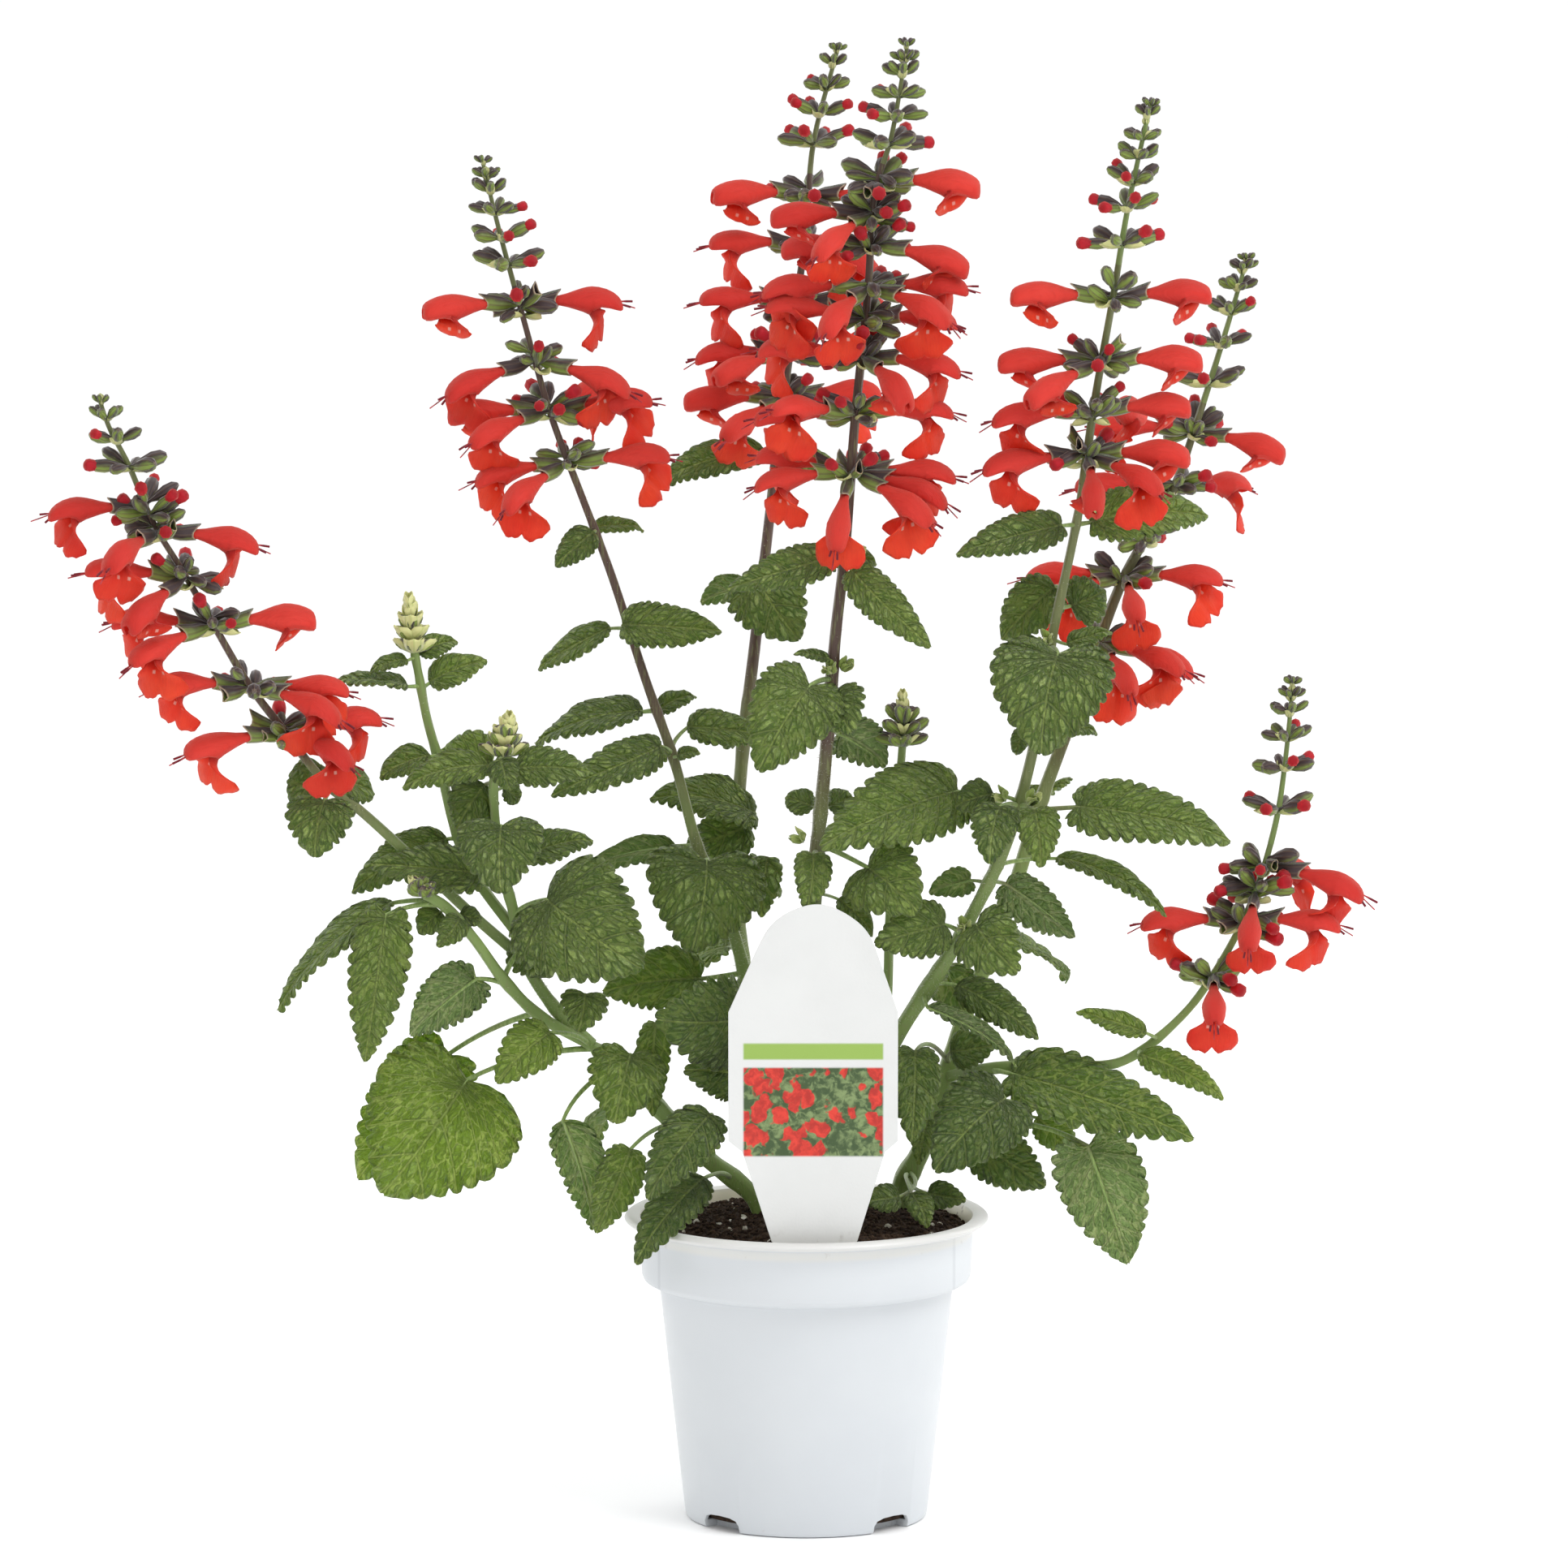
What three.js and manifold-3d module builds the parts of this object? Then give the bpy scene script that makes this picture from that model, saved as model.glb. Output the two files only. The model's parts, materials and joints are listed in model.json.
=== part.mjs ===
// Scarlet sage in a white nursery pot with a plant tag.
// Millimetres, +Z up, the front toward -Y, the origin under the middle of the pot.
import * as THREE from "three";
import Module from "manifold-3d";

const wasm = await Module();
wasm.setup();

// Pot
const potHeight = 96;
const potWall = 1.6;
const potFloor = 2.4;
const baseRadius = 38;
const collarFoot = 74;
const bodyTopRadius = 46;
const collarRadius = 51.5;
const lipRadius = 57;
const lipHeight = 3.6;
const potSides = 30;
const notchHeight = 5;
const notchDepth = 6;
const notchWidth = 15;
const potRound = 1.5;
const mouthDrop = 2.4;

// Soil
const soilEdge = 91.5;
const soilMound = 4.5;
const soilRings = 3;
const soilSides = 15;
const soilCrumb = 0.9;

// Tag
const tagThick = 0.9;
const tagDepth = -45;
const tagLean = 0.03;
const tagMiddle = [2.2, 130];

// Plant
const gap = 0.32;
const bladeThick = 0.7;
const leafFold = 0.22;
const leafArch = 0.12;
const toothCut = 0.84;
const stalkHalf = 0.6;
const longStalk = 24;
const rootOffset = 0.45;
const leanFrom = 120;

// Flower, along its own axis from its root in the stem
const calyxMouth = 10.5;
const throatBack = 18.4;
const throatFront = 19.6;
const hoodShoulder = 26.5;
const flowerReach = 30;
const lipLength = 14;
const lipHalfWidth = 9.2;
const lipHalfThick = 0.42;
const lipTilt = 66;
const lipCurl = 0.02;

// Closed calyces and buds
const closedMost = 1;
const closedLength = 12;
const closedHalf = 2.2;
const closedLift = 24;
const budLongest = 12.5;
const budShortest = 4.5;
const budWhorlSize = 3;
const smallBud = 7;
const axilFatness = 0.32;

// Colours
const potWhite = 0xe9edf0;
const soilBrown = 0x2b1c14;
const tagWhite = 0xf1f2f0;
const leafGreen = 0x4b6b35;
const petalRed = 0xd8331f;
const budGreen = 0x5c6038;

// The plant is laid out on an upright sheet through the pot's axis, looked at from this eye.
// Every place below is [across, rise, depth]: two lengths on the sheet, then how far behind it.
const eye = new THREE.Vector3(-7, -2800, 600);

function place([across, rise, depth = 0]) {
  const reach = (depth - eye.y) / -eye.y;
  return new THREE.Vector3(
    eye.x + (across - eye.x) * reach,
    depth,
    eye.z + (rise - eye.z) * reach,
  );
}

function riseOnSheet(point) {
  const reach = (point.y - eye.y) / -eye.y;
  return eye.z + (point.z - eye.z) / reach;
}

// Stems, root to tip, with the half thickness at each end.
const stemPlan = {
  leftTrunk: {
    route: [[-13, 88, 2], [-16, 100, 2], [-32, 114, -2], [-50, 133, -5], [-67, 149, -8]],
    half: [2.4, 2.1],
  },
  lowLeft: {
    route: [[-67, 149, -8], [-83, 158, -11], [-94, 169, -14], [-104, 183, -17], [-113, 193, -18],
      [-120, 197, -18]],
    half: [1.6, 1.2],
  },
  highLeft: {
    route: [[-67, 149, -8], [-78, 160, -6], [-88, 176, -3], [-91, 190, -2], [-95, 206, -2],
      [-97, 222, -2], [-97, 234, -2], [-94, 241, -2]],
    half: [1.8, 1.0],
  },
  backLeft: {
    route: [[-90, 184, -2], [-103, 202, 6], [-109, 216, 10], [-114, 237, 12], [-118, 252, 11],
      [-120, 263, 11], [-122, 274, 11]],
    half: [1.4, 1.0],
  },
  farLeft: {
    route: [[-88, 176, -3], [-104, 190, 0], [-128, 213, -5], [-139, 223, -8], [-149, 231, -10],
      [-164, 250, -12], [-173, 262, -13], [-184, 281, -15], [-193, 297, -16], [-202, 312, -17],
      [-210, 331, -18], [-216, 343, -18], [-219, 352, -18]],
    half: [1.5, 0.5],
  },
  left: {
    route: [[-8, 88, 8], [-9, 100, 8], [-15, 150, 8], [-22, 182, 6], [-28, 198, 5], [-34, 212, 5],
      [-41, 238, 6], [-50, 264, 8], [-61, 298, 9], [-70, 322, 9], [-79, 346, 9], [-88, 378, 9],
      [-95, 404, 9], [-100, 425, 9]],
    half: [2.1, 0.5],
  },
  back: {
    route: [[-4, 90, 17], [-5, 102, 18], [-16, 150, 30], [-22, 200, 40], [-20, 240, 45],
      [-16, 275, 48], [-12, 310, 50], [-8, 345, 51], [-4, 375, 52], [0, 405, 52], [2, 430, 52],
      [10, 461, 52]],
    half: [2.1, 0.5],
  },
  centre: {
    route: [[0, 86, -8], [0, 99, -8], [1, 150, -12], [3, 205, -16], [6, 240, -18], [9, 278, -19],
      [12, 305, -20], [15, 345, -20], [19, 385, -20], [21, 415, -20], [26, 432, -20],
      [31, 461, -20]],
    half: [2.3, 0.5],
  },
  right: {
    route: [[12, 88, 2], [13, 101, 2], [22, 138, -4], [29, 153, -8], [43, 175, -13], [50, 187, -14],
      [62, 212, -14], [70, 240, -13], [76, 276, -12], [84, 315, -12], [89, 350, -12],
      [95, 385, -12], [99, 410, -12], [106, 443, -12]],
    half: [2.4, 0.5],
  },
  rightShoot: {
    route: [[22, 138, -4], [25, 160, 2], [26, 190, 5], [28, 215, 4], [29, 232, 2], [30, 246, 2]],
    half: [1.2, 0.9],
  },
  backRight: {
    route: [[28, 93, 20], [30, 104, 20], [36, 116, 18], [42, 134, 18], [50, 160, 22], [62, 190, 28],
      [73, 226, 34], [81, 248, 37], [90, 274, 39], [99, 297, 40], [113, 322, 41], [121, 345, 42],
      [130, 374, 42], [136, 395, 42]],
    half: [3.0, 0.5],
  },
  farRight: {
    route: [[44, 139, 18], [62, 142, 0], [84, 142, -6], [99, 144, -8], [117, 158, -8],
      [128, 173, -8], [139, 195, -8], [146, 219, -8], [149, 240, -8], [151, 263, -8]],
    half: [1.6, 0.5],
  },
};

// Green nodes: the stems in each, and how far they lean back for each millimetre they rise.
const leafyGroups = {
  stem_left: { members: ["leftTrunk", "lowLeft", "highLeft", "backLeft", "farLeft"], lean: -0.2 },
  stem_left_centre: { members: ["left"], lean: 0.04 },
  stem_back: { members: ["back"], lean: 0.11 },
  stem_centre: { members: ["centre"], lean: -0.03 },
  stem_right: { members: ["right", "rightShoot"], lean: -0.1 },
  stem_back_right: { members: ["backRight", "farRight"], lean: 0.1 },
};

const leanOf = Object.fromEntries(
  Object.values(leafyGroups).flatMap(({ members, lean }) => members.map((name) => [name, lean])),
);

// A place on a stem or on what grows from it at a node, moved by the stem's lean.
function leaning(name, [across, rise, depth], nodeRise = rise) {
  return place([across, rise, depth + leanOf[name] * Math.max(0, nodeRise - leanFrom)]);
}

// Leaves: stem, rise of its node, blade base, blade tip, width, facing, how far its lobes reach back.
// Facing 0 lies flat, 90 turns its upper side to the front, a negative one shows its underside.
const leafPlan = [
  ["farLeft", 231, [-151, 237, -8], [-160, 222, -10], 15, 40, 0.05],
  ["farLeft", 231, [-146, 233, -4], [-134, 228, 4], 16, 45, 0.05],
  ["farLeft", 230, [-150, 226, -18], [-153, 208, -26], 21, 80, 0.1],
  ["backLeft", 262, [-124, 262, 8], [-148, 263, 4], 13, 15, 0],
  ["backLeft", 261, [-117, 263, 14], [-99, 270, 18], 12, 50, 0],
  ["backLeft", 271, [-120, 272, 14], [-108, 276, 18], 9, 50, 0],
  ["backLeft", 240, [-117, 240, 6], [-133, 233, 2], 12, 45, 0],
  ["highLeft", 236, [-99, 237, -8], [-126, 230, -14], 13, 50, 0],
  ["highLeft", 236, [-91, 236, -4], [-67, 235, -8], 14, 60, 0],
  ["highLeft", 239, [-95, 239, -10], [-92, 229, -16], 10, 75, 0],
  ["highLeft", 236, [-98, 238, 6], [-114, 242, 14], 18, 70, 0],
  ["highLeft", 231, [-100, 231, 3], [-109, 217, 4], 16, 80, 0],
  ["highLeft", 228, [-94, 230, 4], [-89, 226, 8], 8, 60, 0],
  ["highLeft", 214, [-95, 218, -16], [-95, 196.5, -26], 27, 85, 0.2],
  ["highLeft", 212, [-88, 208, -4], [-66, 214, 0], 13, 45, 0],
  ["highLeft", 196, [-101, 203, -8], [-136, 206, -14], 18, 50, 0.05],
  ["backLeft", 214, [-112, 214, 12], [-142, 197, 8], 16, 50, 0],
  ["lowLeft", 193, [-131, 190, -20], [-138, 143, -28], 19, 75, 0.1],
  ["lowLeft", 194, [-129, 194, -12], [-166, 160, -14], 20, 15, 0],
  ["lowLeft", 192, [-114, 191, -14], [-121, 184, -16], 10, 70, 0],
  ["lowLeft", 188, [-108, 189, -22], [-115, 180, -30], 9, 80, 0],
  ["lowLeft", 188, [-108, 190, -16], [-101, 188, -16], 8, 50, 0],
  ["lowLeft", 168, [-103, 170, -16], [-124, 152, -20], 19, -75, 0.1],
  ["lowLeft", 170, [-86, 182, -8], [-80, 170, -6], 20, 90, 0.12],
  ["highLeft", 190, [-81, 195, -14], [-51, 173, -30], 42, 65, 0.15],
  ["highLeft", 160, [-69, 165, -20], [-71, 153, -26], 15, 85, 0.15],
  ["leftTrunk", 149, [-80, 153, -26], [-97, 137, -36], 17, 80, 0.05],
  ["leftTrunk", 148, [-106, 138, -20], [-133, 101, -34], 50, 88, 0.12],
  ["lowLeft", 159, [-112, 146, -6], [-141, 106, -12], 30, 70, 0.1],
  ["leftTrunk", 142, [-76, 125, -20], [-66, 90, -24], 17, -45, 0],
  ["leftTrunk", 141, [-55, 146, -18], [-60, 124, -28], 24, 85, 0.15],
  ["leftTrunk", 140, [-47, 156, -12], [-48, 126, -14], 11, 70, 0.05],
  ["leftTrunk", 124, [-55, 116, -26], [-66, 89, -34], 15, 80, 0.05],
  ["leftTrunk", 117, [-30, 127, -36], [-50, 100, -52], 19, 60, 0.05],
  ["leftTrunk", 107, [-32, 107, -26], [-54, 80, -46], 16, 50, 0],
  ["highLeft", 180, [-84, 186, 14], [-78, 176, 42], 22, 30, 0.1],
  ["leftTrunk", 130, [-52, 134, 16], [-66, 120, 44], 24, 30, 0.1],
  ["left", 310, [-66, 310, 6], [-78, 299, 2], 11, 60, 0],
  ["left", 310, [-66, 311, 14], [-50, 311, 18], 9, 30, 0],
  ["left", 280, [-57, 281, 2], [-26, 279, 0], 16, 58, 0.05],
  ["left", 280, [-61, 280, 14], [-84, 267, 20], 12, 40, 0],
  ["left", 254, [-51, 254, 8], [-85, 244, 14], 18, 30, 0],
  ["left", 254, [-46, 254, 14], [-34, 259, 18], 9, 35, 0],
  ["left", 241, [-45, 243, 0], [-80, 228, -14], 16, 48, 0.05],
  ["left", 242, [-37, 249, 14], [-12, 246, 22], 14, 50, 0],
  ["left", 206, [-31, 207, -6], [-36, 178, -20], 38, 85, 0.2],
  ["left", 212, [-41, 212, 10], [-70, 205, 12], 13, -50, 0],
  ["left", 172, [-33, 170, 4], [-64, 166, 0], 22, 60, 0.1],
  ["left", 150, [-21, 157, -20], [-47, 157, -34], 30, 88, 0.1],
  ["left", 138, [-20, 139, -16], [-38, 141, -28], 18, 85, 0.05],
  ["back", 334, [-13, 335, 52], [-48, 324, 46], 14, 50, 0],
  ["back", 331, [-7, 332, 56], [10, 330, 62], 12, 60, 0],
  ["back", 297, [-16, 297, 42], [-2, 276, 36], 26, 70, 0.12],
  ["back", 295, [-18, 293, 52], [-33, 288, 58], 12, -60, 0],
  ["back", 243, [-22, 244, 44], [-31, 249, 46], 12, -45, 0],
  ["back", 220, [-16, 222, 34], [-49, 227, 26], 22, 35, 0.05],
  ["back", 219, [-18, 218, 36], [-38, 211, 34], 18, 70, 0.05],
  ["back", 205, [-12, 208, 30], [-14, 189, 26], 11, 80, 0.05],
  ["back", 204, [-16, 205, 48], [-8, 196, 62], 14, 40, 0.1],
  ["back", 255, [-12, 258, 62], [2, 252, 90], 20, 30, 0.1],
  ["back", 178, [-24, 180, 52], [-44, 168, 80], 24, 40, 0.1],
  ["centre", 303, [8, 302, -24], [-25, 292, -34], 14, 58, 0.05],
  ["centre", 302, [14, 298, -26], [39, 274, -36], 14, 60, 0.05],
  ["centre", 303, [14, 302, -14], [22, 300, -12], 8, 40, 0],
  ["centre", 301, [6, 301, -10], [-10, 301, 2], 8, 30, 0],
  ["centre", 264, [1, 262, -30], [-15, 235, -44], 28, 85, 0.2],
  ["centre", 262, [8, 259, -26], [14, 247, -34], 19, 85, 0.12],
  ["centre", 248, [10, 247, -10], [25, 237, -4], 17, -70, 0],
  ["centre", 222, [2, 224, -6], [-7, 227, 0], 9, 70, 0],
  ["centre", 222, [7, 224, -6], [15, 227, 0], 9, 70, 0],
  ["centre", 212, [19, 205, -24], [35, 191, -36], 26, 75, 0.15],
  ["centre", 210, [2, 209, -28], [0, 191, -38], 12, 80, 0.1],
  ["centre", 196, [10, 195, -2], [21, 183, 2], 8, 60, 0],
  ["right", 312, [79, 312, -16], [46, 303, -24], 14, 60, 0.05],
  ["right", 313, [88, 313, -10], [125, 315, 2], 18, 62, 0.05],
  ["right", 274, [78, 272, -24], [73, 240, -38], 38, 88, 0.2],
  ["right", 276, [81, 275, -14], [95, 279, -14], 8, 40, 0],
  ["right", 290, [77, 293, 2], [60, 276, 4], 17, 70, 0.05],
  ["right", 286, [82, 287, 0], [93, 292, 4], 17, 70, 0.05],
  ["right", 225, [60, 224, -26], [57, 206, -38], 15, 85, 0.1],
  ["right", 226, [58, 228, -18], [46, 224, -18], 12, 60, 0],
  ["right", 224, [71, 223, -24], [73, 205, -36], 14, 85, 0.1],
  ["right", 222, [84, 224, -20], [133, 214, -28], 21, 55, 0.08],
  ["right", 222, [47, 229, -6], [4, 212, -32], 28, 60, 0.08],
  ["right", 206, [78, 208, -6], [113, 190, -14], 12, 25, 0],
  ["right", 200, [62, 200, -2], [84, 183, 2], 16, -70, 0.05],
  ["right", 200, [51, 201, -8], [38, 197, -6], 10, -80, 0.1],
  ["right", 184, [43, 187, -24], [21, 181, -30], 18, 75, 0.1],
  ["right", 184, [53, 187, -22], [66, 172, -36], 22, 85, 0.12],
  ["right", 165, [38, 161, -18], [67, 143, -22], 13, -30, 0],
  ["right", 168, [47, 168, -8], [73, 151, -14], 13, 60, 0],
  ["right", 172, [43, 174, -4], [50, 157, -2], 16, -60, 0],
  ["rightShoot", 231, [27, 231, -2], [17, 223, -6], 8, 70, 0],
  ["rightShoot", 231, [32, 231, 0], [42, 231, -2], 9, 60, 0],
  ["backRight", 143, [45, 147, 8], [59, 149, 4], 13, 70, 0],
  ["backRight", 143, [34, 147, -24], [33, 118, -38], 16, 85, 0.1],
  ["backRight", 132, [62, 132, -20], [40, 109, -34], 28, 80, 0.15],
  ["farRight", 141.5, [64, 140, -6], [122, 120, -24], 26, 50, 0.05],
  ["backRight", 122, [88, 117, -18], [101, 79, -30], 28, -85, 0.15],
  ["backRight", 120, [54, 118, 2], [75, 104, -6], 19, 80, 0.1],
  ["backRight", 124, [72, 126, 6], [84, 115, 8], 12, 70, 0],
  ["backRight", 122, [38, 126, 4], [35, 111, -4], 8, 75, 0],
  ["backRight", 109, [27, 99, -26], [19, 103, -28], 8, 60, 0],
  ["backRight", 107, [39, 102, -6], [47, 101, -10], 8, 60, 0],
  ["backRight", 178, [62, 182, 42], [82, 170, 68], 22, 30, 0.1],
  ["backRight", 226, [76, 230, 48], [70, 224, 72], 18, 30, 0.1],
  ["farRight", 151, [106, 153, -14], [84, 160, -16], 9, 45, 0],
  ["farRight", 147, [104, 146, -14], [131, 132, -20], 10, 60, 0],
];

// Small buds in the leaf axils: stem, rise, bud's middle, length.
const axilPlan = [
  ["centre", 301, [16, 303, -26], 5],
  ["centre", 265, [7, 267, -24], 5],
  ["centre", 266, [13, 268, -22], 4.5],
  ["right", 275, [74, 276, -20], 5],
  ["right", 312, [88, 316, -18], 4],
  ["right", 225, [60, 227, -20], 5],
  ["right", 223, [71, 226, -20], 5],
  ["right", 184, [49, 186, -22], 5],
  ["highLeft", 162, [-70, 173, -12], 7],
  ["centre", 212, [-3, 214, -22], 5],
];

// Leafy bud heads at shoot tips: stem, foot and top of the head, its half width.
const headPlan = [
  ["backLeft", [-122, 273, 11], [-124, 291, 11], 6.5],
  ["highLeft", [-94, 240, -2], [-92, 252, -2], 6.5],
  ["lowLeft", [-119, 196, -18], [-125, 200, -19], 5],
  ["rightShoot", [30, 244, 2], [30, 262, 2], 7],
];

// Flower spikes: the stem, where leaves end and buds begin, then each whorl of open flowers as
// its rise, the flowers' [heading, lift] in degrees and the headings of the closed ones.
// Heading 0 points right, 180 left, -90 to the front.
const spikePlan = {
  far_left: {
    stem: "farLeft",
    from: 240,
    to: 321,
    whorls: [
      [248, [[195, -8], [-40, -12], [20, 10]], [120, 240]],
      [262, [[190, 5], [5, 0], [-20, -12]], [100, 250]],
      [281, [[178, 6], [215, -15], [8, 8]], [-60, 90]],
      [296, [[183, 8], [235, -20]], [-50, 40, 130]],
      [310, [[245, -10], [10, -5]], [150, 90]],
      [317, [[182, 2]], [0, 270]],
    ],
    buds: [330, 338, 345, 350],
  },
  left: {
    stem: "left",
    from: 325,
    to: 386,
    whorls: [
      [332, [[0, 8], [192, -5], [225, -20]], [-60, 100]],
      [348, [[3, 10], [180, 2], [215, -12], [60, 12]], [-90, 130]],
      [363, [[-12, -12], [200, -14]], [-80, 90, 150]],
      [380, [[12, 5], [195, 2]], [-90, -40, 100]],
    ],
    buds: [393, 401, 409, 415, 420, 424],
  },
  back: {
    stem: "back",
    from: 340,
    to: 421,
    whorls: [
      [352, [[182, 2], [230, -18], [15, 5]], [90]],
      [366, [[178, 0], [215, -10]], [40, 100]],
      [381, [[185, 5], [-15, 0]], [90, -60]],
      [399, [[180, 4], [-40, -10]], [40, 120]],
      [415, [[200, 5], [-25, 0]], [90, 150]],
    ],
    buds: [430, 439, 447, 454, 459],
  },
  centre: {
    stem: "centre",
    from: 322,
    to: 424,
    whorls: [
      [329, [[184, -4], [158, 12], [-104, -42], [0, 2], [-34, -22], [-12, -12]], [-70, 60, 110]],
      [347, [[181, 2], [4, 6], [215, 10]], [-90, 80]],
      [364, [[-6, -4], [-62, -18], [170, 8]], [-110, 100]],
      [376, [[186, 12], [30, 0]], [-120, -30]],
      [386, [[183, 2], [2, 4], [-38, -12], [-118, -18]], [90]],
      [399, [[-2, -8], [150, 0]], [-60, 80]],
      [409, [[180, 2], [-128, -18]], [-30, 40]],
      [419, [[-2, 2]], [165, 200, -60]],
    ],
    buds: [430, 438, 445, 451, 456, 460],
  },
  right: {
    stem: "right",
    from: 324,
    to: 393,
    whorls: [
      [334, [[190, -2], [-85, -25], [-40, -14], [-12, 6]], [90]],
      [347, [[186, 0], [5, 8], [60, 0]], [-70, 120]],
      [363, [[180, 4], [218, -16], [0, 6]], [-80, 90]],
      [383, [[180, 6], [6, 8]], [-110, -50, 80]],
    ],
    buds: [399, 410, 418, 426, 432, 438, 442],
  },
  back_right: {
    stem: "backRight",
    from: 268,
    to: 350,
    whorls: [
      [275, [[-12, -12], [-70, -20], [-30, -8]], [90]],
      [296, [[-85, -18], [-5, 2], [182, 4], [215, -8]], [120, 60]],
      [308, [], [-10, 20, -50]],
      [324, [[180, 3], [40, 0]], [-10, -60]],
      [341, [[-10, -8], [180, 8]], [-70, 60]],
    ],
    buds: [356, 368, 378, 385, 391, 394],
  },
  far_right: {
    stem: "farRight",
    from: 162,
    to: 212,
    whorls: [
      [171, [[-92, -16]], [160, 40, -10, 80]],
      [188, [[4, 2], [184, 4]], [-60, 90]],
      [197, [[-98, -24]], [200, 60]],
      [206, [[-6, -12], [60, -10]], [150, 180, -60]],
    ],
    buds: [223, 236, 245, 253, 258, 262],
  },
};

// A closed solid from corner points and triangles, turned outward.
function solid(points, triangles) {
  const vertProperties = new Float32Array(points.flatMap((p) => [p.x, p.y, p.z]));
  const made = (list) =>
    new wasm.Manifold(
      new wasm.Mesh({ numProp: 3, vertProperties, triVerts: new Uint32Array(list.flat()) }),
    );
  const body = made(triangles);
  return body.volume() > 0 ? body : made(triangles.map(([a, b, c]) => [a, c, b]));
}

// Joins rings of equal size into a closed skin; a ring of one point ends it in a tip.
function loft(rings) {
  const points = rings.flat();
  const triangles = [];
  let start = 0;
  for (let k = 0; k + 1 < rings.length; k++) {
    const here = rings[k].length;
    const next = rings[k + 1].length;
    const after = start + here;
    const count = Math.max(here, next);
    for (let i = 0; i < count; i++) {
      const j = (i + 1) % count;
      const a = start + (here > 1 ? i : 0);
      const b = start + (here > 1 ? j : 0);
      const c = after + (next > 1 ? j : 0);
      const d = after + (next > 1 ? i : 0);
      if (here > 1) triangles.push([a, b, c]);
      if (next > 1) triangles.push([a, c, d]);
    }
    start = after;
  }
  const cap = (first, size, flip) => {
    for (let i = 1; i + 1 < size; i++)
      triangles.push(flip ? [first, first + i + 1, first + i] : [first, first + i, first + i + 1]);
  };
  cap(0, rings[0].length, true);
  cap(start, rings[rings.length - 1].length, false);
  return solid(points, triangles);
}

// Rings across a path, turned as little as possible from one to the next.
function ringsAlong(path, halves, sides) {
  let tangent = path[1].clone().sub(path[0]).normalize();
  const across = new THREE.Vector3(1, 0, 0);
  if (Math.abs(tangent.x) > 0.8) across.set(0, 1, 0);
  const first = across.addScaledVector(tangent, -across.dot(tangent)).normalize();
  let second = tangent.clone().cross(first);
  return path.map((point, k) => {
    const before = path[Math.max(k - 1, 0)];
    const after = path[Math.min(k + 1, path.length - 1)];
    const next = after.clone().sub(before).normalize();
    const turn = new THREE.Quaternion().setFromUnitVectors(tangent, next);
    first.applyQuaternion(turn);
    second.applyQuaternion(turn);
    tangent = next;
    return Array.from({ length: sides }, (_, i) => {
      const angle = (2 * Math.PI * (i + 0.5)) / sides;
      return point
        .clone()
        .addScaledVector(first, halves[k] * Math.cos(angle))
        .addScaledVector(second, halves[k] * Math.sin(angle));
    });
  });
}

const stems = Object.fromEntries(
  Object.entries(stemPlan).map(([name, { route, half }]) => {
    const curve = new THREE.CatmullRomCurve3(
      route.map((point) => leaning(name, point)),
      false,
      "centripetal",
    );
    const samples = Array.from({ length: 301 }, (_, i) => curve.getPoint(i / 300));
    const at = (rise) => {
      let best = 0;
      samples.forEach((point, i) => {
        const off = Math.abs(riseOnSheet(point) - rise);
        if (off < Math.abs(riseOnSheet(samples[best]) - rise)) best = i;
      });
      return best / 300;
    };
    const halfAt = (t) => half[0] + (half[1] - half[0]) * t;
    return [name, { curve, at, halfAt, spans: route.length }];
  }),
);

// The stretch of a stem between two shares of its length; sink draws its foot out backward.
function stemBody(name, from, to, spans, grow, sink = 0) {
  const { curve, halfAt } = stems[name];
  const shares = Array.from({ length: spans + 1 }, (_, i) => from + ((to - from) * i) / spans);
  const halves = shares.map((t) => (halfAt(t) + grow) * Math.SQRT2);
  const path = shares.map((t) => curve.getPoint(t));
  path[0].addScaledVector(path[1].clone().sub(path[0]).normalize(), -sink);
  return loft(ringsAlong(path, halves, 4));
}

// Width of a blade at a share of its length, 1 at its widest.
function bladeShape(share) {
  const round = 0.42;
  const point = 0.82;
  const peak = round / (round + point);
  const top = peak ** round * (1 - peak) ** point;
  return (share ** round * (1 - share) ** point) / top;
}

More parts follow.
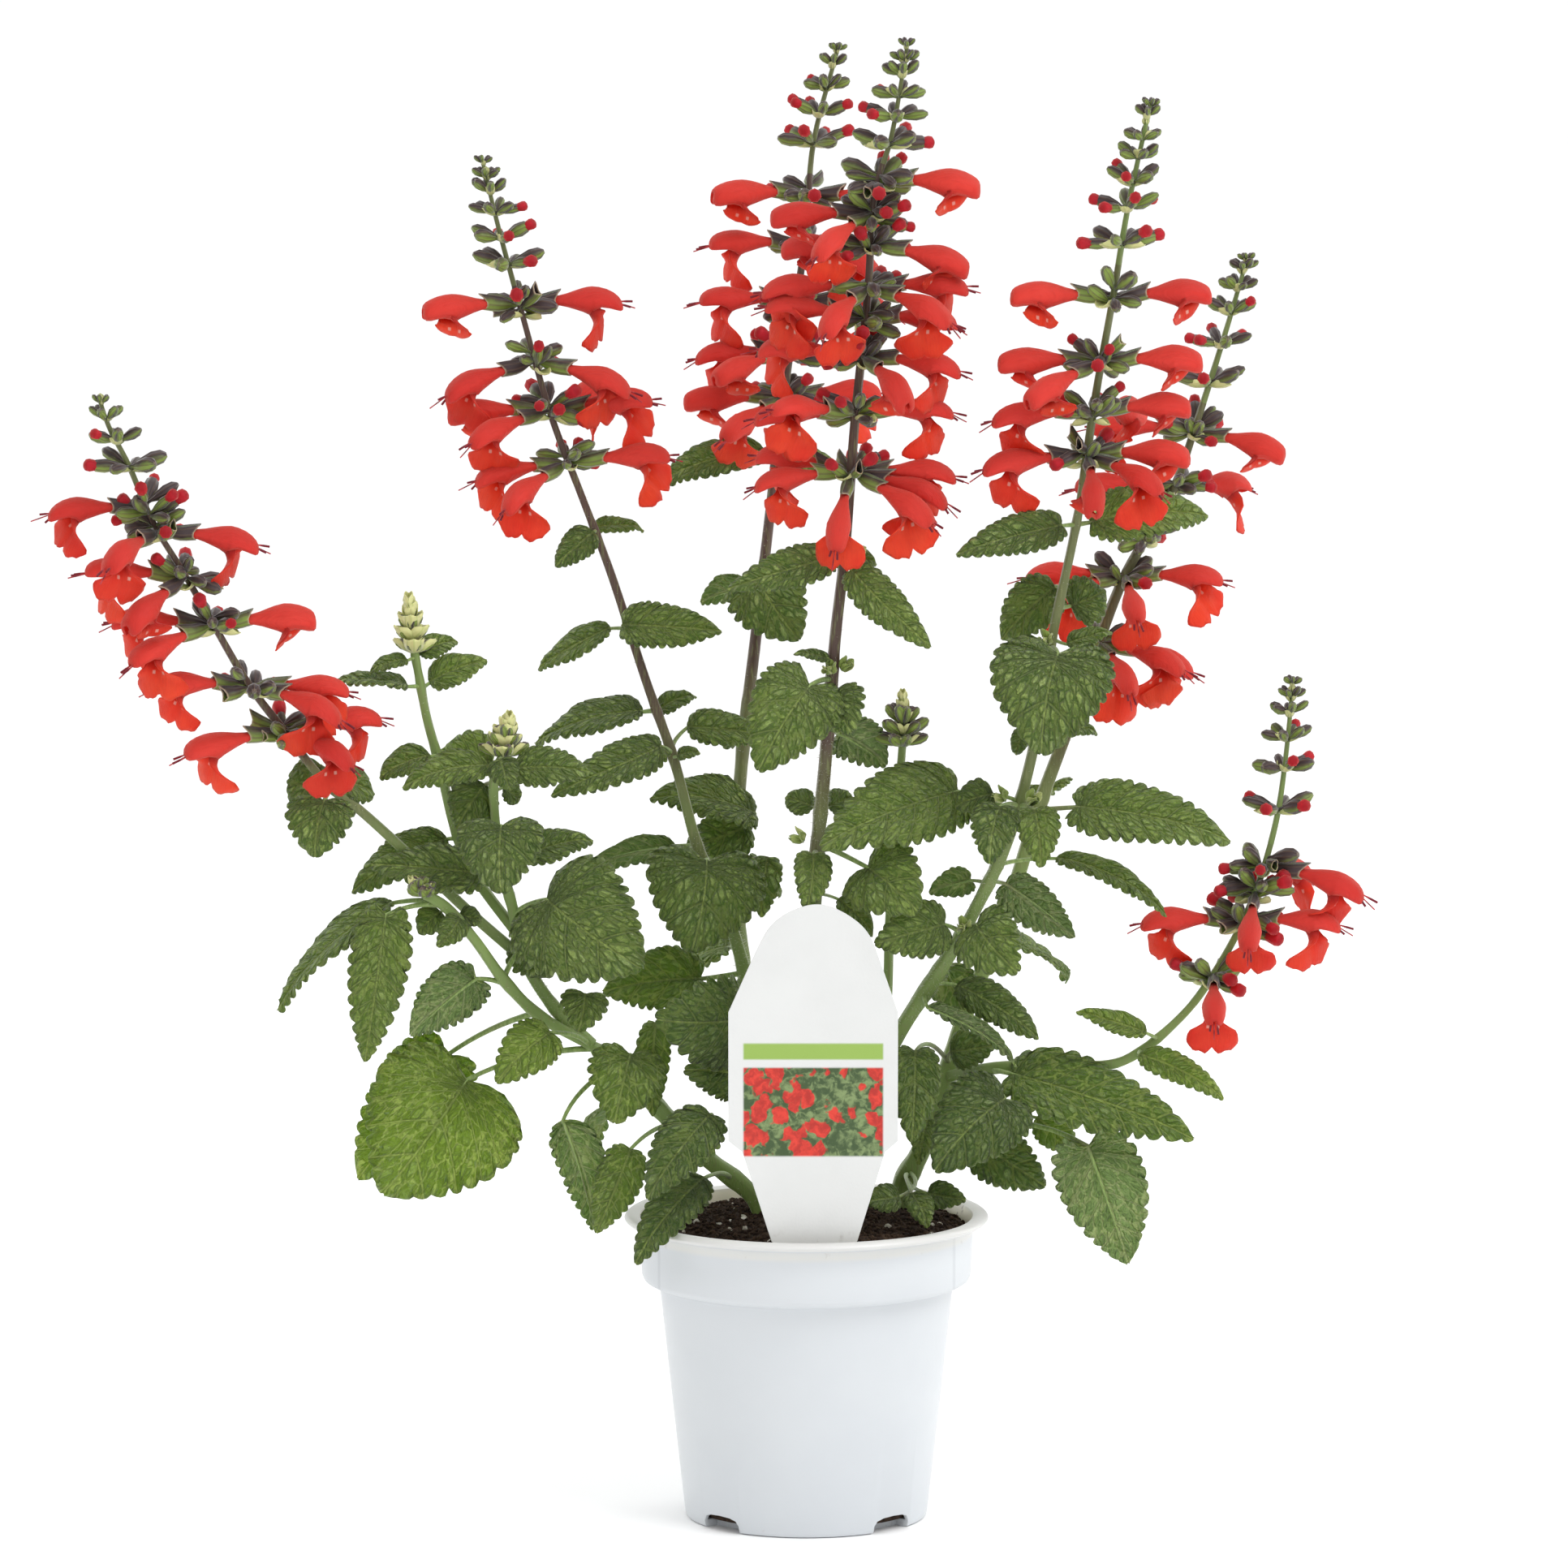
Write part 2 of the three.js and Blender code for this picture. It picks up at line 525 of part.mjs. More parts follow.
// One leaf: a folded, arched blade with cut edges on a square stalk that runs into the stem.
function leaf([stemName, nodeRise, baseAt, tipAt, width, facing, lobe], grow) {
  const base = leaning(stemName, baseAt, nodeRise);
  const tip = leaning(stemName, tipAt, nodeRise);
  const stem = stems[stemName];
  const leaving = base.clone().sub(stem.curve.getPoint(stem.at(nodeRise)));
  const root = rootOn(stem, nodeRise, headingTo(leaving));
  const length = base.distanceTo(tip);
  const axis = tip.clone().sub(base).normalize();
  const turn = THREE.MathUtils.degToRad(facing);
  const look = new THREE.Vector3(0, -Math.sin(turn), Math.cos(turn));
  const normal = look.addScaledVector(axis, -look.dot(axis)).normalize();
  const middle = base.clone().lerp(tip, 0.5).addScaledVector(normal, length * leafArch);
  const teeth = length > 36 ? 4 : length > 25 ? 3 : length > 13 ? 2 : 1;
  const half = width / 2 + grow;
  const thick = bladeThick / 2 + grow;

  const pointAt = (t, side, raise) => {
    const s = Math.max(t, 0);
    const spine = base
      .clone()
      .multiplyScalar((1 - s) * (1 - s))
      .addScaledVector(middle, 2 * s * (1 - s))
      .addScaledVector(tip, s * s);
    const tangent = middle.clone().sub(base).lerp(tip.clone().sub(middle), s).normalize();
    const up = normal.clone().addScaledVector(tangent, -normal.dot(tangent)).normalize();
    const out = tangent.clone().cross(up);
    if (t < 0) spine.addScaledVector(tangent, t * length);
    if (t >= 1) spine.addScaledVector(tangent, grow);
    return spine.addScaledVector(out, side).addScaledVector(up, Math.abs(side) * leafFold + raise);
  };

  // The edge of one side as shares of the length and half widths, tooth and cut in turn.
  const edge = [];
  const reach = 1 + lobe;
  const steps = teeth + 0.3;
  for (let k = 0; k < teeth; k++) {
    const tooth = (k + 0.38) / steps;
    const cut = (k + 0.98) / steps;
    edge.push([tooth * reach - lobe, half * bladeShape(tooth)]);
    if (k + 1 < teeth || teeth === 1) edge.push([cut * reach - lobe, half * toothCut * bladeShape(cut)]);
  }
  const spineShares = teeth > 2 ? [0.3, 0.6] : [0.45];

  // Both faces share one pattern of triangles.
  const points = [];
  const add = (t, side) => {
    points.push(pointAt(t, side, thick), pointAt(t, side, -thick));
    return points.length / 2 - 1;
  };
  const stalk = stalkHalf + grow;
  const sides = [-1, 1].map((sign) => ({
    foot: add(0, sign * stalk),
    rim: edge.map(([t, s]) => ({ id: add(t, sign * Math.max(s, stalk)), t })),
  }));
  const spine = spineShares.map((t) => ({ id: add(t, 0), t }));
  const point = { id: add(1, 0), t: 1 };
  const face = [];
  const outline = [];
  sides.forEach(({ foot, rim }, k) => {
    const inner = [{ id: foot, t: 0 }, ...spine, point];
    const outer = [...rim, point];
    const put = (a, b, c) => face.push(k ? [a, b, c] : [a, c, b]);
    let i = 0;
    let j = 0;
    while (i < inner.length - 2 || j < outer.length - 2) {
      const stepInner =
        j >= outer.length - 2 || (i < inner.length - 2 && inner[i + 1].t < outer[j + 1].t);
      if (stepInner) {
        put(inner[i].id, outer[j].id, inner[i + 1].id);
        i++;
      } else {
        put(inner[i].id, outer[j].id, outer[j + 1].id);
        j++;
      }
    }
    put(inner[i].id, outer[j].id, point.id);
    outline.push([foot, ...outer.map((p) => p.id)]);
  });
  face.push([sides[0].foot, sides[1].foot, spine[0].id]);

  const triangles = [];
  const upper = (id) => 2 * id;
  const lower = (id) => 2 * id + 1;
  for (const [a, b, c] of face) {
    triangles.push([upper(a), upper(b), upper(c)], [lower(a), lower(c), lower(b)]);
  }
  outline.forEach((chain, k) => {
    for (let i = 0; i + 1 < chain.length; i++) {
      const [a, b] = k ? [chain[i], chain[i + 1]] : [chain[i + 1], chain[i]];
      triangles.push([upper(a), lower(a), lower(b)], [upper(a), lower(b), upper(b)]);
    }
  });

  // The stalk carries the blade's foot back to the stem.
  const run = base.distanceTo(root);
  const startWay = middle.clone().sub(base).normalize();
  const elbow = base.clone().addScaledVector(startWay, -0.3 * run).lerp(root, 0.35);
  const ways = run > longStalk ? [elbow, root] : [root];
  const rootThick = 1.4 * thick;
  let last = [sides[0].foot, sides[1].foot].flatMap((id) => [upper(id), lower(id)]);
  let here = base;
  let frame = [pointAt(0, 1, 0).sub(pointAt(0, -1, 0)), pointAt(0, 0, 1).sub(pointAt(0, 0, -1))];
  frame = frame.map((v) => v.normalize());
  let heading = startWay.clone();
  ways.forEach((next, k) => {
    const into = here.clone().sub(next).normalize();
    const onward = k + 1 < ways.length ? next.clone().sub(ways[k + 1]).normalize() : into;
    const way = into.clone().add(onward).normalize();
    const bend = new THREE.Quaternion().setFromUnitVectors(heading, way);
    frame = frame.map((v) => v.clone().applyQuaternion(bend));
    heading = way;
    const first = points.length;
    for (const sign of [-1, 1])
      for (const raise of [1, -1])
        points.push(
          next
            .clone()
            .addScaledVector(frame[0], sign * stalk)
            .addScaledVector(frame[1], raise * rootThick),
        );
    const ring = [first, first + 1, first + 2, first + 3];
    const order = [0, 2, 3, 1];
    for (let i = 0; i < 4; i++) {
      const a = order[i];
      const b = order[(i + 1) % 4];
      triangles.push([last[a], ring[a], ring[b]], [last[a], ring[b], last[b]]);
    }
    last = ring;
    here = next;
  });
  triangles.push([last[0], last[1], last[3]], [last[0], last[3], last[2]]);
  return solid(points, triangles);
}

// A point inside a stem, a little way from its middle, so that neighbours' roots stay apart.
function rootOn({ curve, at, halfAt }, rise, heading) {
  const turn = THREE.MathUtils.degToRad(heading);
  const share = at(rise);
  const off = rootOffset * halfAt(share);
  return curve
    .getPoint(share)
    .add(new THREE.Vector3(off * Math.cos(turn), off * Math.sin(turn), 0));
}

// Directions out, sideways and up for something that points along a heading.
function flowerFrame(heading, lift) {
  const turn = THREE.MathUtils.degToRad(heading);
  const raise = THREE.MathUtils.degToRad(lift);
  const out = new THREE.Vector3(
    Math.cos(turn) * Math.cos(raise),
    Math.sin(turn) * Math.cos(raise),
    Math.sin(raise),
  );
  const side = new THREE.Vector3(-Math.sin(turn), Math.cos(turn), 0);
  return { out, side, up: out.clone().cross(side) };
}

// One open flower in one skin: calyx, tube and hood, with the lobed lip hanging from its throat.
function flower(root, heading, lift, grow) {
  const { out, side, up } = flowerFrame(heading, lift);
  const at = (x, y, z) =>
    root.clone().addScaledVector(out, x).addScaledVector(side, y).addScaledVector(up, z);
  const ring = (x, z, halfWide, halfTall) => [
    at(x, 0, z + halfTall + grow),
    at(x, -halfWide - grow, z - halfTall - grow),
    at(x, halfWide + grow, z - halfTall - grow),
  ];
  const tilt = THREE.MathUtils.degToRad(lipTilt);
  const half = lipHalfWidth + grow;
  const long = lipLength + grow;
  const lobes = [
    [-half, 0.55 * long],
    [-0.6 * half, long],
    [0, 0.84 * long],
    [0.6 * half, long],
    [half, 0.55 * long],
  ];
  const thick = lipHalfThick + grow;
  const hinge = (throatBack + throatFront) / 2;
  const onLip = ([u, v], raise) => {
    const away = raise - lipCurl * u * u;
    return at(
      hinge + v * Math.cos(tilt) + away * Math.sin(tilt),
      u,
      -2 - v * Math.sin(tilt) + away * Math.cos(tilt),
    );
  };
  const points = [
    root,
    ...ring(calyxMouth, 0.4, 2.2, 2.3),
    ...ring(throatBack - grow, 0.2, 2.6, 2.6),
    ...ring(throatFront + grow, 0.2, 2.6, 2.6),
    ...ring(hoodShoulder, 0.3, 2, 2),
    at(flowerReach + grow, 0, -1.2),
    ...lobes.map((p) => onLip(p, -thick)),
    ...lobes.map((p) => onLip(p, thick)),
  ];
  const triangles = [];
  const quad = (a, b, c, d) => triangles.push([a, b, c], [a, c, d]);
  for (let i = 0; i < 3; i++) {
    const j = (i + 1) % 3;
    triangles.push([0, 1 + i, 1 + j], [13, 10 + j, 10 + i]);
    quad(1 + i, 4 + i, 4 + j, 1 + j);
    if (i !== 1) quad(4 + i, 7 + i, 7 + j, 4 + j);
    quad(7 + i, 10 + i, 10 + j, 7 + j);
  }
  // Back and front of the lip, from the throat's lower corners round the lobes.
  const back = [5, 14, 15, 16, 17, 18, 6];
  const front = [8, 19, 20, 21, 22, 23, 9];
  for (const [a, b, c] of [[0, 1, 3], [1, 2, 3], [0, 3, 6], [3, 5, 6], [3, 4, 5]])
    triangles.push([back[a], back[b], back[c]], [front[a], front[c], front[b]]);
  for (let i = 0; i + 1 < back.length; i++) quad(back[i], front[i], front[i + 1], back[i + 1]);
  return solid(points, triangles);
}

// A closed bud: a three-sided spindle, blunt toward its tip.
function bud(root, heading, lift, length, half, grow) {
  const { out, side, up } = flowerFrame(heading, lift);
  const at = (x, y, z) =>
    root.clone().addScaledVector(out, x).addScaledVector(side, y).addScaledVector(up, z);
  const wide = half + grow;
  const shoulder = 0.72 * length;
  const under = -0.6 * wide;
  return loft([
    [root],
    [at(shoulder, 0, wide), at(shoulder, -wide, under), at(shoulder, wide, under)],
    [at(length + grow, 0, 0)],
  ]);
}

const headingTo = (vector) => THREE.MathUtils.radToDeg(Math.atan2(vector.y, vector.x));
const liftTo = (vector) => THREE.MathUtils.radToDeg(Math.asin(vector.z / vector.length()));

// A short leafy head of pale bracts round a shoot's tip.
function budHead([name, footAt, topAt, half], grow) {
  const foot = leaning(name, footAt);
  const top = leaning(name, topAt);
  const tall = top.distanceTo(foot);
  const core = [foot, foot.clone().lerp(top, 0.9)];
  const pieces = [loft(ringsAlong(core, [1.4 + grow, 0.7 + grow], 4))];
  for (let tier = 0; tier < 2; tier++) {
    const at = foot.clone().lerp(top, 0.42 * tier);
    const size = half * (1.3 - 0.25 * tier);
    for (let k = 0; k < 3; k++) {
      const heading = 60 * tier + 120 * k + 20;
      const { out } = flowerFrame(heading, 0);
      const root = at.clone().addScaledVector(out, rootOffset);
      pieces.push(bud(root, heading, 32 + 16 * tier, size, size * 0.36, grow));
    }
  }
  pieces.push(bud(foot.clone().lerp(top, 0.6), 0, 88, tall * 0.45, half * 0.3, grow));
  return pieces;
}

const spikeOf = Object.fromEntries(Object.values(spikePlan).map((spike) => [spike.stem, spike]));

// A stem from its root to where its flowering stretch begins.
function leafyStem(name, grow, sink) {
  const stem = stems[name];
  const spike = spikeOf[name];
  const end = spike ? stem.at(spike.from) - (2 * gap) / stem.curve.getLength() : 1;
  const spans = Math.max(3, Math.round((stem.spans - 1) * end));
  return stemBody(name, 0, end, spans, grow, sink);
}

function leafyPieces(names, grow) {
  const pieces = names.map((name) => leafyStem(name, grow));
  leafPlan.filter(([name]) => names.includes(name)).forEach((row) => pieces.push(leaf(row, grow)));
  axilPlan
    .filter(([name]) => names.includes(name))
    .forEach(([name, rise, at, size]) => {
      const middle = stems[name].curve.getPoint(stems[name].at(rise));
      const way = leaning(name, at, rise).sub(middle);
      const root = rootOn(stems[name], rise, headingTo(way));
      const long = way.length() + size / 2;
      pieces.push(bud(root, headingTo(way), liftTo(way), long, size * axilFatness, grow));
    });
  headPlan
    .filter(([name]) => names.includes(name))
    .forEach((row) => pieces.push(...budHead(row, grow)));
  return pieces;
}

// Red nodes: the flowering stretch of a stem with its open flowers and closed calyces.
function bloomPieces({ stem: name, from, to, whorls }, grow) {
  const stem = stems[name];
  const spans = Math.max(3, whorls.length);
  const pieces = [stemBody(name, stem.at(from), stem.at(to), spans, grow)];
  for (const [rise, open, closed] of whorls) {
    for (const [heading, lift] of open)
      pieces.push(flower(rootOn(stem, rise, heading), heading, lift, grow));
    for (const heading of closed.slice(0, closedMost)) {
      const root = rootOn(stem, rise + 1, heading);
      pieces.push(bud(root, heading, closedLift, closedLength, closedHalf, grow));
    }
  }
  return pieces;
}

// Dark green nodes: the top of a spike with its whorls of buds, smaller toward the tip.
function budPieces({ stem: name, to, buds }, grow) {
  const stem = stems[name];
  const start = stem.at(to) + gap / stem.curve.getLength();
  const pieces = [stemBody(name, start, 1, 3, grow)];
  buds.forEach((rise, tier) => {
    const size = budLongest + ((budShortest - budLongest) * tier) / (buds.length - 1);
    const count = size > smallBud ? budWhorlSize : budWhorlSize - 1;
    for (let k = 0; k < count; k++) {
      const heading = (360 * (k + 0.5 * (tier % 2))) / count + 12;
      const root = rootOn(stem, rise, heading);
      pieces.push(bud(root, heading, 16 + 6 * (k % 2), size, 0.9 + 0.1 * size, grow));
    }
  });
  return pieces;
}

const builders = {};
for (const [name, { members }] of Object.entries(leafyGroups))
  builders[name] = { colour: leafGreen, make: (grow) => leafyPieces(members, grow) };
for (const [name, spike] of Object.entries(spikePlan)) {
  builders["bloom_" + name] = { colour: petalRed, make: (grow) => bloomPieces(spike, grow) };
  builders["buds_" + name] = { colour: budGreen, make: (grow) => budPieces(spike, grow) };
}

const meets = (a, b) => {
  const [p, q] = [a.boundingBox(), b.boundingBox()];
  return [0, 1, 2].every((k) => p.min[k] < q.max[k] && q.min[k] < p.max[k]);
};

// The largest body of a solid, without scraps cut loose from it.
const largest = (body) =>
  body.decompose().reduce((best, piece) => (piece.volume() > best.volume() ? piece : best));

// Each node gives way, by a small gap, to the pieces of the earlier ones that it would cross.
const plantNodes = {};
const clearances = [];
for (const [name, { colour, make }] of Object.entries(builders)) {
  let body = wasm.Manifold.union(make(0));
  const near = clearances.filter((piece) => meets(piece, body) && body.intersect(piece).volume() > 0);
  if (near.length) body = body.subtract(wasm.Manifold.union(near));
  plantNodes[name] = { body: largest(body), colour };
  clearances.push(...make(gap));
}

// Pot: one turned wall with a stepped collar and a rolled lip, notched at its foot.
function turned(profile, sides) {
  const lathe = new THREE.LatheGeometry(profile.map(([r, z]) => new THREE.Vector2(r, z)), sides);
  lathe.rotateX(Math.PI / 2);
  return manifoldOf(lathe);
}

function manifoldOf(geometry) {
  const source = geometry.index ? geometry.toNonIndexed() : geometry;
  const corners = source.getAttribute("position");
  const found = new Map();
  const points = [];
  const ids = [];
  for (let i = 0; i < corners.count; i++) {
    const point = new THREE.Vector3().fromBufferAttribute(corners, i);
    const key = point.toArray().map((v) => Math.round(v * 1e4)).join();
    if (!found.has(key)) {
      found.set(key, points.length);
      points.push(point);
    }
    ids.push(found.get(key));
  }
  const triangles = [];
  for (let i = 0; i < ids.length; i += 3) {
    const [a, b, c] = ids.slice(i, i + 3);
    if (a !== b && b !== c && a !== c) triangles.push([a, b, c]);
  }
  return solid(points, triangles);
}

function box(width, depth, height, turn, middle) {
  const geometry = new THREE.BoxGeometry(width, depth, height);
  geometry.applyMatrix4(
    new THREE.Matrix4().makeRotationZ(turn).setPosition(middle[0], middle[1], middle[2]),
  );
  return manifoldOf(geometry);
}

const collarTop = potHeight - lipHeight;
const potProfile = [
  [0, 0],
  [baseRadius - potRound, 0],
  [baseRadius, potRound],
  [bodyTopRadius, collarFoot],
  [collarRadius - 1.2, collarFoot + 1],
  [collarRadius, collarFoot + 3],
  [collarRadius + 0.8, collarTop],
  [lipRadius - 0.6, collarTop + 0.3],
  [lipRadius, collarTop + lipHeight / 2],
  [lipRadius - 1, potHeight - 0.2],
  [collarRadius + 2, potHeight],
  [collarRadius - 0.2, potHeight - mouthDrop],
  [collarRadius - potWall, collarFoot + 4],
  [bodyTopRadius - potWall, collarFoot - 1],
  [baseRadius - potWall + 0.3, potFloor],
  [0, potFloor],
];
let pot = turned(potProfile, potSides);
for (let k = 0; k < 4; k++) {
  const turn = Math.PI / 4 + (k * Math.PI) / 2;
  const reach = baseRadius + 3 - notchDepth / 2;
  const middle = [Math.cos(turn) * reach, Math.sin(turn) * reach, notchHeight / 2 - 0.5];
  pot = pot.subtract(box(notchDepth + 6, notchWidth, notchHeight + 1, turn, middle));
}

// Soil: a filled plug a little clear of the pot, its top mounded and uneven.
let seed = 7;
function random() {
  seed = (seed * 16807) % 2147483647;
  return seed / 2147483647;
}

const soilWall = (height) => {
  const foot = baseRadius - potWall + 0.3;
  const top = bodyTopRadius - potWall;
  return foot + ((top - foot) * (height - potFloor)) / (collarFoot - 1 - potFloor) - 2 * gap;
};
const soilTopRadius = collarRadius - potWall - 0.2;
const soilRing = (radius, height, bumps) =>
  Array.from({ length: soilSides }, (_, i) => {
    const angle = (2 * Math.PI * i) / soilSides;
    const bump = bumps ? soilCrumb * (2 * random() - 1) : 0;
    return new THREE.Vector3(radius * Math.cos(angle), radius * Math.sin(angle), height + bump);
  });
const soilSections = [
  soilRing(soilWall(potFloor + gap), potFloor + gap, false),
  soilRing(soilWall(collarFoot - 1), collarFoot - 1.4, false),
  soilRing(soilTopRadius - 0.4, collarFoot + 4.2, false),
  soilRing(soilTopRadius, soilEdge, false),
];
for (let k = 1; k <= soilRings; k++) {
  const radius = soilTopRadius * (1 - k / (soilRings + 0.6));
  const height = soilEdge + soilMound * (1 - (radius / soilTopRadius) ** 2);
  soilSections.push(soilRing(radius, height, true));
}
soilSections.push([new THREE.Vector3(0, 0, soilEdge + soilMound)]);
let soil = loft(soilSections);
for (const name of ["leftTrunk", "left", "back", "centre", "right", "backRight"])
  soil = soil.subtract(leafyStem(name, gap, 2 * gap));

// Tag: a thin white plate, round at the top, narrowing to a stake in the soil.
const tagOutline = [
  [4, 193.5], [-4, 191.5], [-11, 187], [-15, 180], [-24.4, 159], [-24.4, 118.5], [-20, 115],
  [-11, 87], [-2, 71], [6, 71], [16, 87], [24.6, 115], [28.6, 118.5], [28.6, 159], [22, 178],
  [19, 185], [12, 190.5],
];
function tagPlate(grow) {
  const at = ([across, rise], offset) => {
    const point = place([across, rise, tagDepth]);
    point.y += (point.z - potHeight) * tagLean + offset;
    return point;
  };
  const wide = tagOutline.map(([across, rise]) => [
    across + Math.sign(across - tagMiddle[0]) * grow,
    rise + Math.sign(rise - tagMiddle[1]) * grow,
  ]);
  return loft([-1, 1].map((sign) => wide.map((p) => at(p, sign * (tagThick / 2 + grow)))));
}
const tag = tagPlate(0);
const tagRoom = tagPlate(gap);
soil = soil.subtract(tagRoom);

for (const node of Object.values(plantNodes)) {
  if (meets(node.body, tagRoom)) node.body = largest(node.body.subtract(tagRoom));
}

// Flat-shaded meshes, one for each node.
function meshOf(name, body, colour, roughness) {
  const mesh = body.getMesh();
  const geometry = new THREE.BufferGeometry();
  geometry.setAttribute("position", new THREE.BufferAttribute(mesh.vertProperties, 3));
  geometry.setIndex(new THREE.BufferAttribute(mesh.triVerts, 1));
  const shaded = geometry.toNonIndexed();
  shaded.computeVertexNormals();
  const material = new THREE.MeshStandardMaterial({ color: colour, roughness, metalness: 0 });
  const made = new THREE.Mesh(shaded, material);
  made.name = name;
  return made;
}

const plant = new THREE.Group();
plant.name = "potted_scarlet_sage";
plant.add(meshOf("pot", pot, potWhite, 0.45));
plant.add(meshOf("soil", soil, soilBrown, 0.95));
plant.add(meshOf("tag", tag, tagWhite, 0.4));
for (const [name, { body, colour }] of Object.entries(plantNodes))
  plant.add(meshOf(name, body, colour, 0.7));

export default plant;
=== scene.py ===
import json
import math

import bpy
import numpy as np
from mathutils import Matrix, Vector, noise

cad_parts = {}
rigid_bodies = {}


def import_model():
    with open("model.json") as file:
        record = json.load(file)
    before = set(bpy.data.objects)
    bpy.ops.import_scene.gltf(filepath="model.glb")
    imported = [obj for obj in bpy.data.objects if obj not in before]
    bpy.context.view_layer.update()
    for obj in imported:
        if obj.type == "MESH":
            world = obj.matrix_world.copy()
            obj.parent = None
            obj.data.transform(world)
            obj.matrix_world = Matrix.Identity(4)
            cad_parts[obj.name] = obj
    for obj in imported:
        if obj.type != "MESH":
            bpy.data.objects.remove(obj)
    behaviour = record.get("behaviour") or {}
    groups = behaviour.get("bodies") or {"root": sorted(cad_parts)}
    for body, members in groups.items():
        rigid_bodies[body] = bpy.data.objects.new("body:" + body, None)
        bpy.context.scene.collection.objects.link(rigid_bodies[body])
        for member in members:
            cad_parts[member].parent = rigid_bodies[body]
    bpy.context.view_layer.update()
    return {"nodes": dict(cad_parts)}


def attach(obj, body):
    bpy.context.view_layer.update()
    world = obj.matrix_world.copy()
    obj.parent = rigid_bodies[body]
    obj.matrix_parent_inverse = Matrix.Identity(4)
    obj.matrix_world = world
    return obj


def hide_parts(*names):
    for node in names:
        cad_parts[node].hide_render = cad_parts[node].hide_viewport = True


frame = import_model()
print("frame loaded:", len(frame["nodes"]), "nodes")

mm = 0.001
luck = np.random.default_rng(11)

# Camera and light
studio = {
    "lens": 208.5, "sensor": 36.0, "pitch": 7.504,
    "air": 0.38, "airFront": 0.18, "airBehind": 0.41, "airAbove": 0.82, "floorSize": 60.0,
    "floorDull": (0.95, 0.95, 0.95), "floorPale": (0.97, 0.97, 0.97), "lampsToward": (0.0, 0.0, 0.25),
    "lamps": {  # power, size, place
        "keyLamp": (13.0, (0.9, 0.9), (1.0, -0.8, 1.5)),
        "backLeftLamp": (4.6, (0.7, 1.2), (-1.1, 1.1, 0.7)),
        "backRightLamp": (4.6, (0.7, 1.2), (1.2, 1.0, 0.7)),
    },
}

# The plant is laid out on an upright sheet through the pot's axis, looked at from this eye, in mm.
# Every place below is (across, rise, depth): two lengths on the sheet, then how far behind it.
eye = np.array([-7.0, -2800.0, 600.0])
leanFrom = 120

# Stems grown as one, and how far they lean back for each millimetre they rise
leafyGroups = {
    "stem_left": {"members": ["leftTrunk", "lowLeft", "highLeft", "backLeft", "farLeft"], "lean": -0.2},
    "stem_left_centre": {"members": ["left"], "lean": 0.04},
    "stem_back": {"members": ["back"], "lean": 0.11},
    "stem_centre": {"members": ["centre"], "lean": -0.03},
    "stem_right": {"members": ["right", "rightShoot"], "lean": -0.1},
    "stem_back_right": {"members": ["backRight", "farRight"], "lean": 0.1},
}

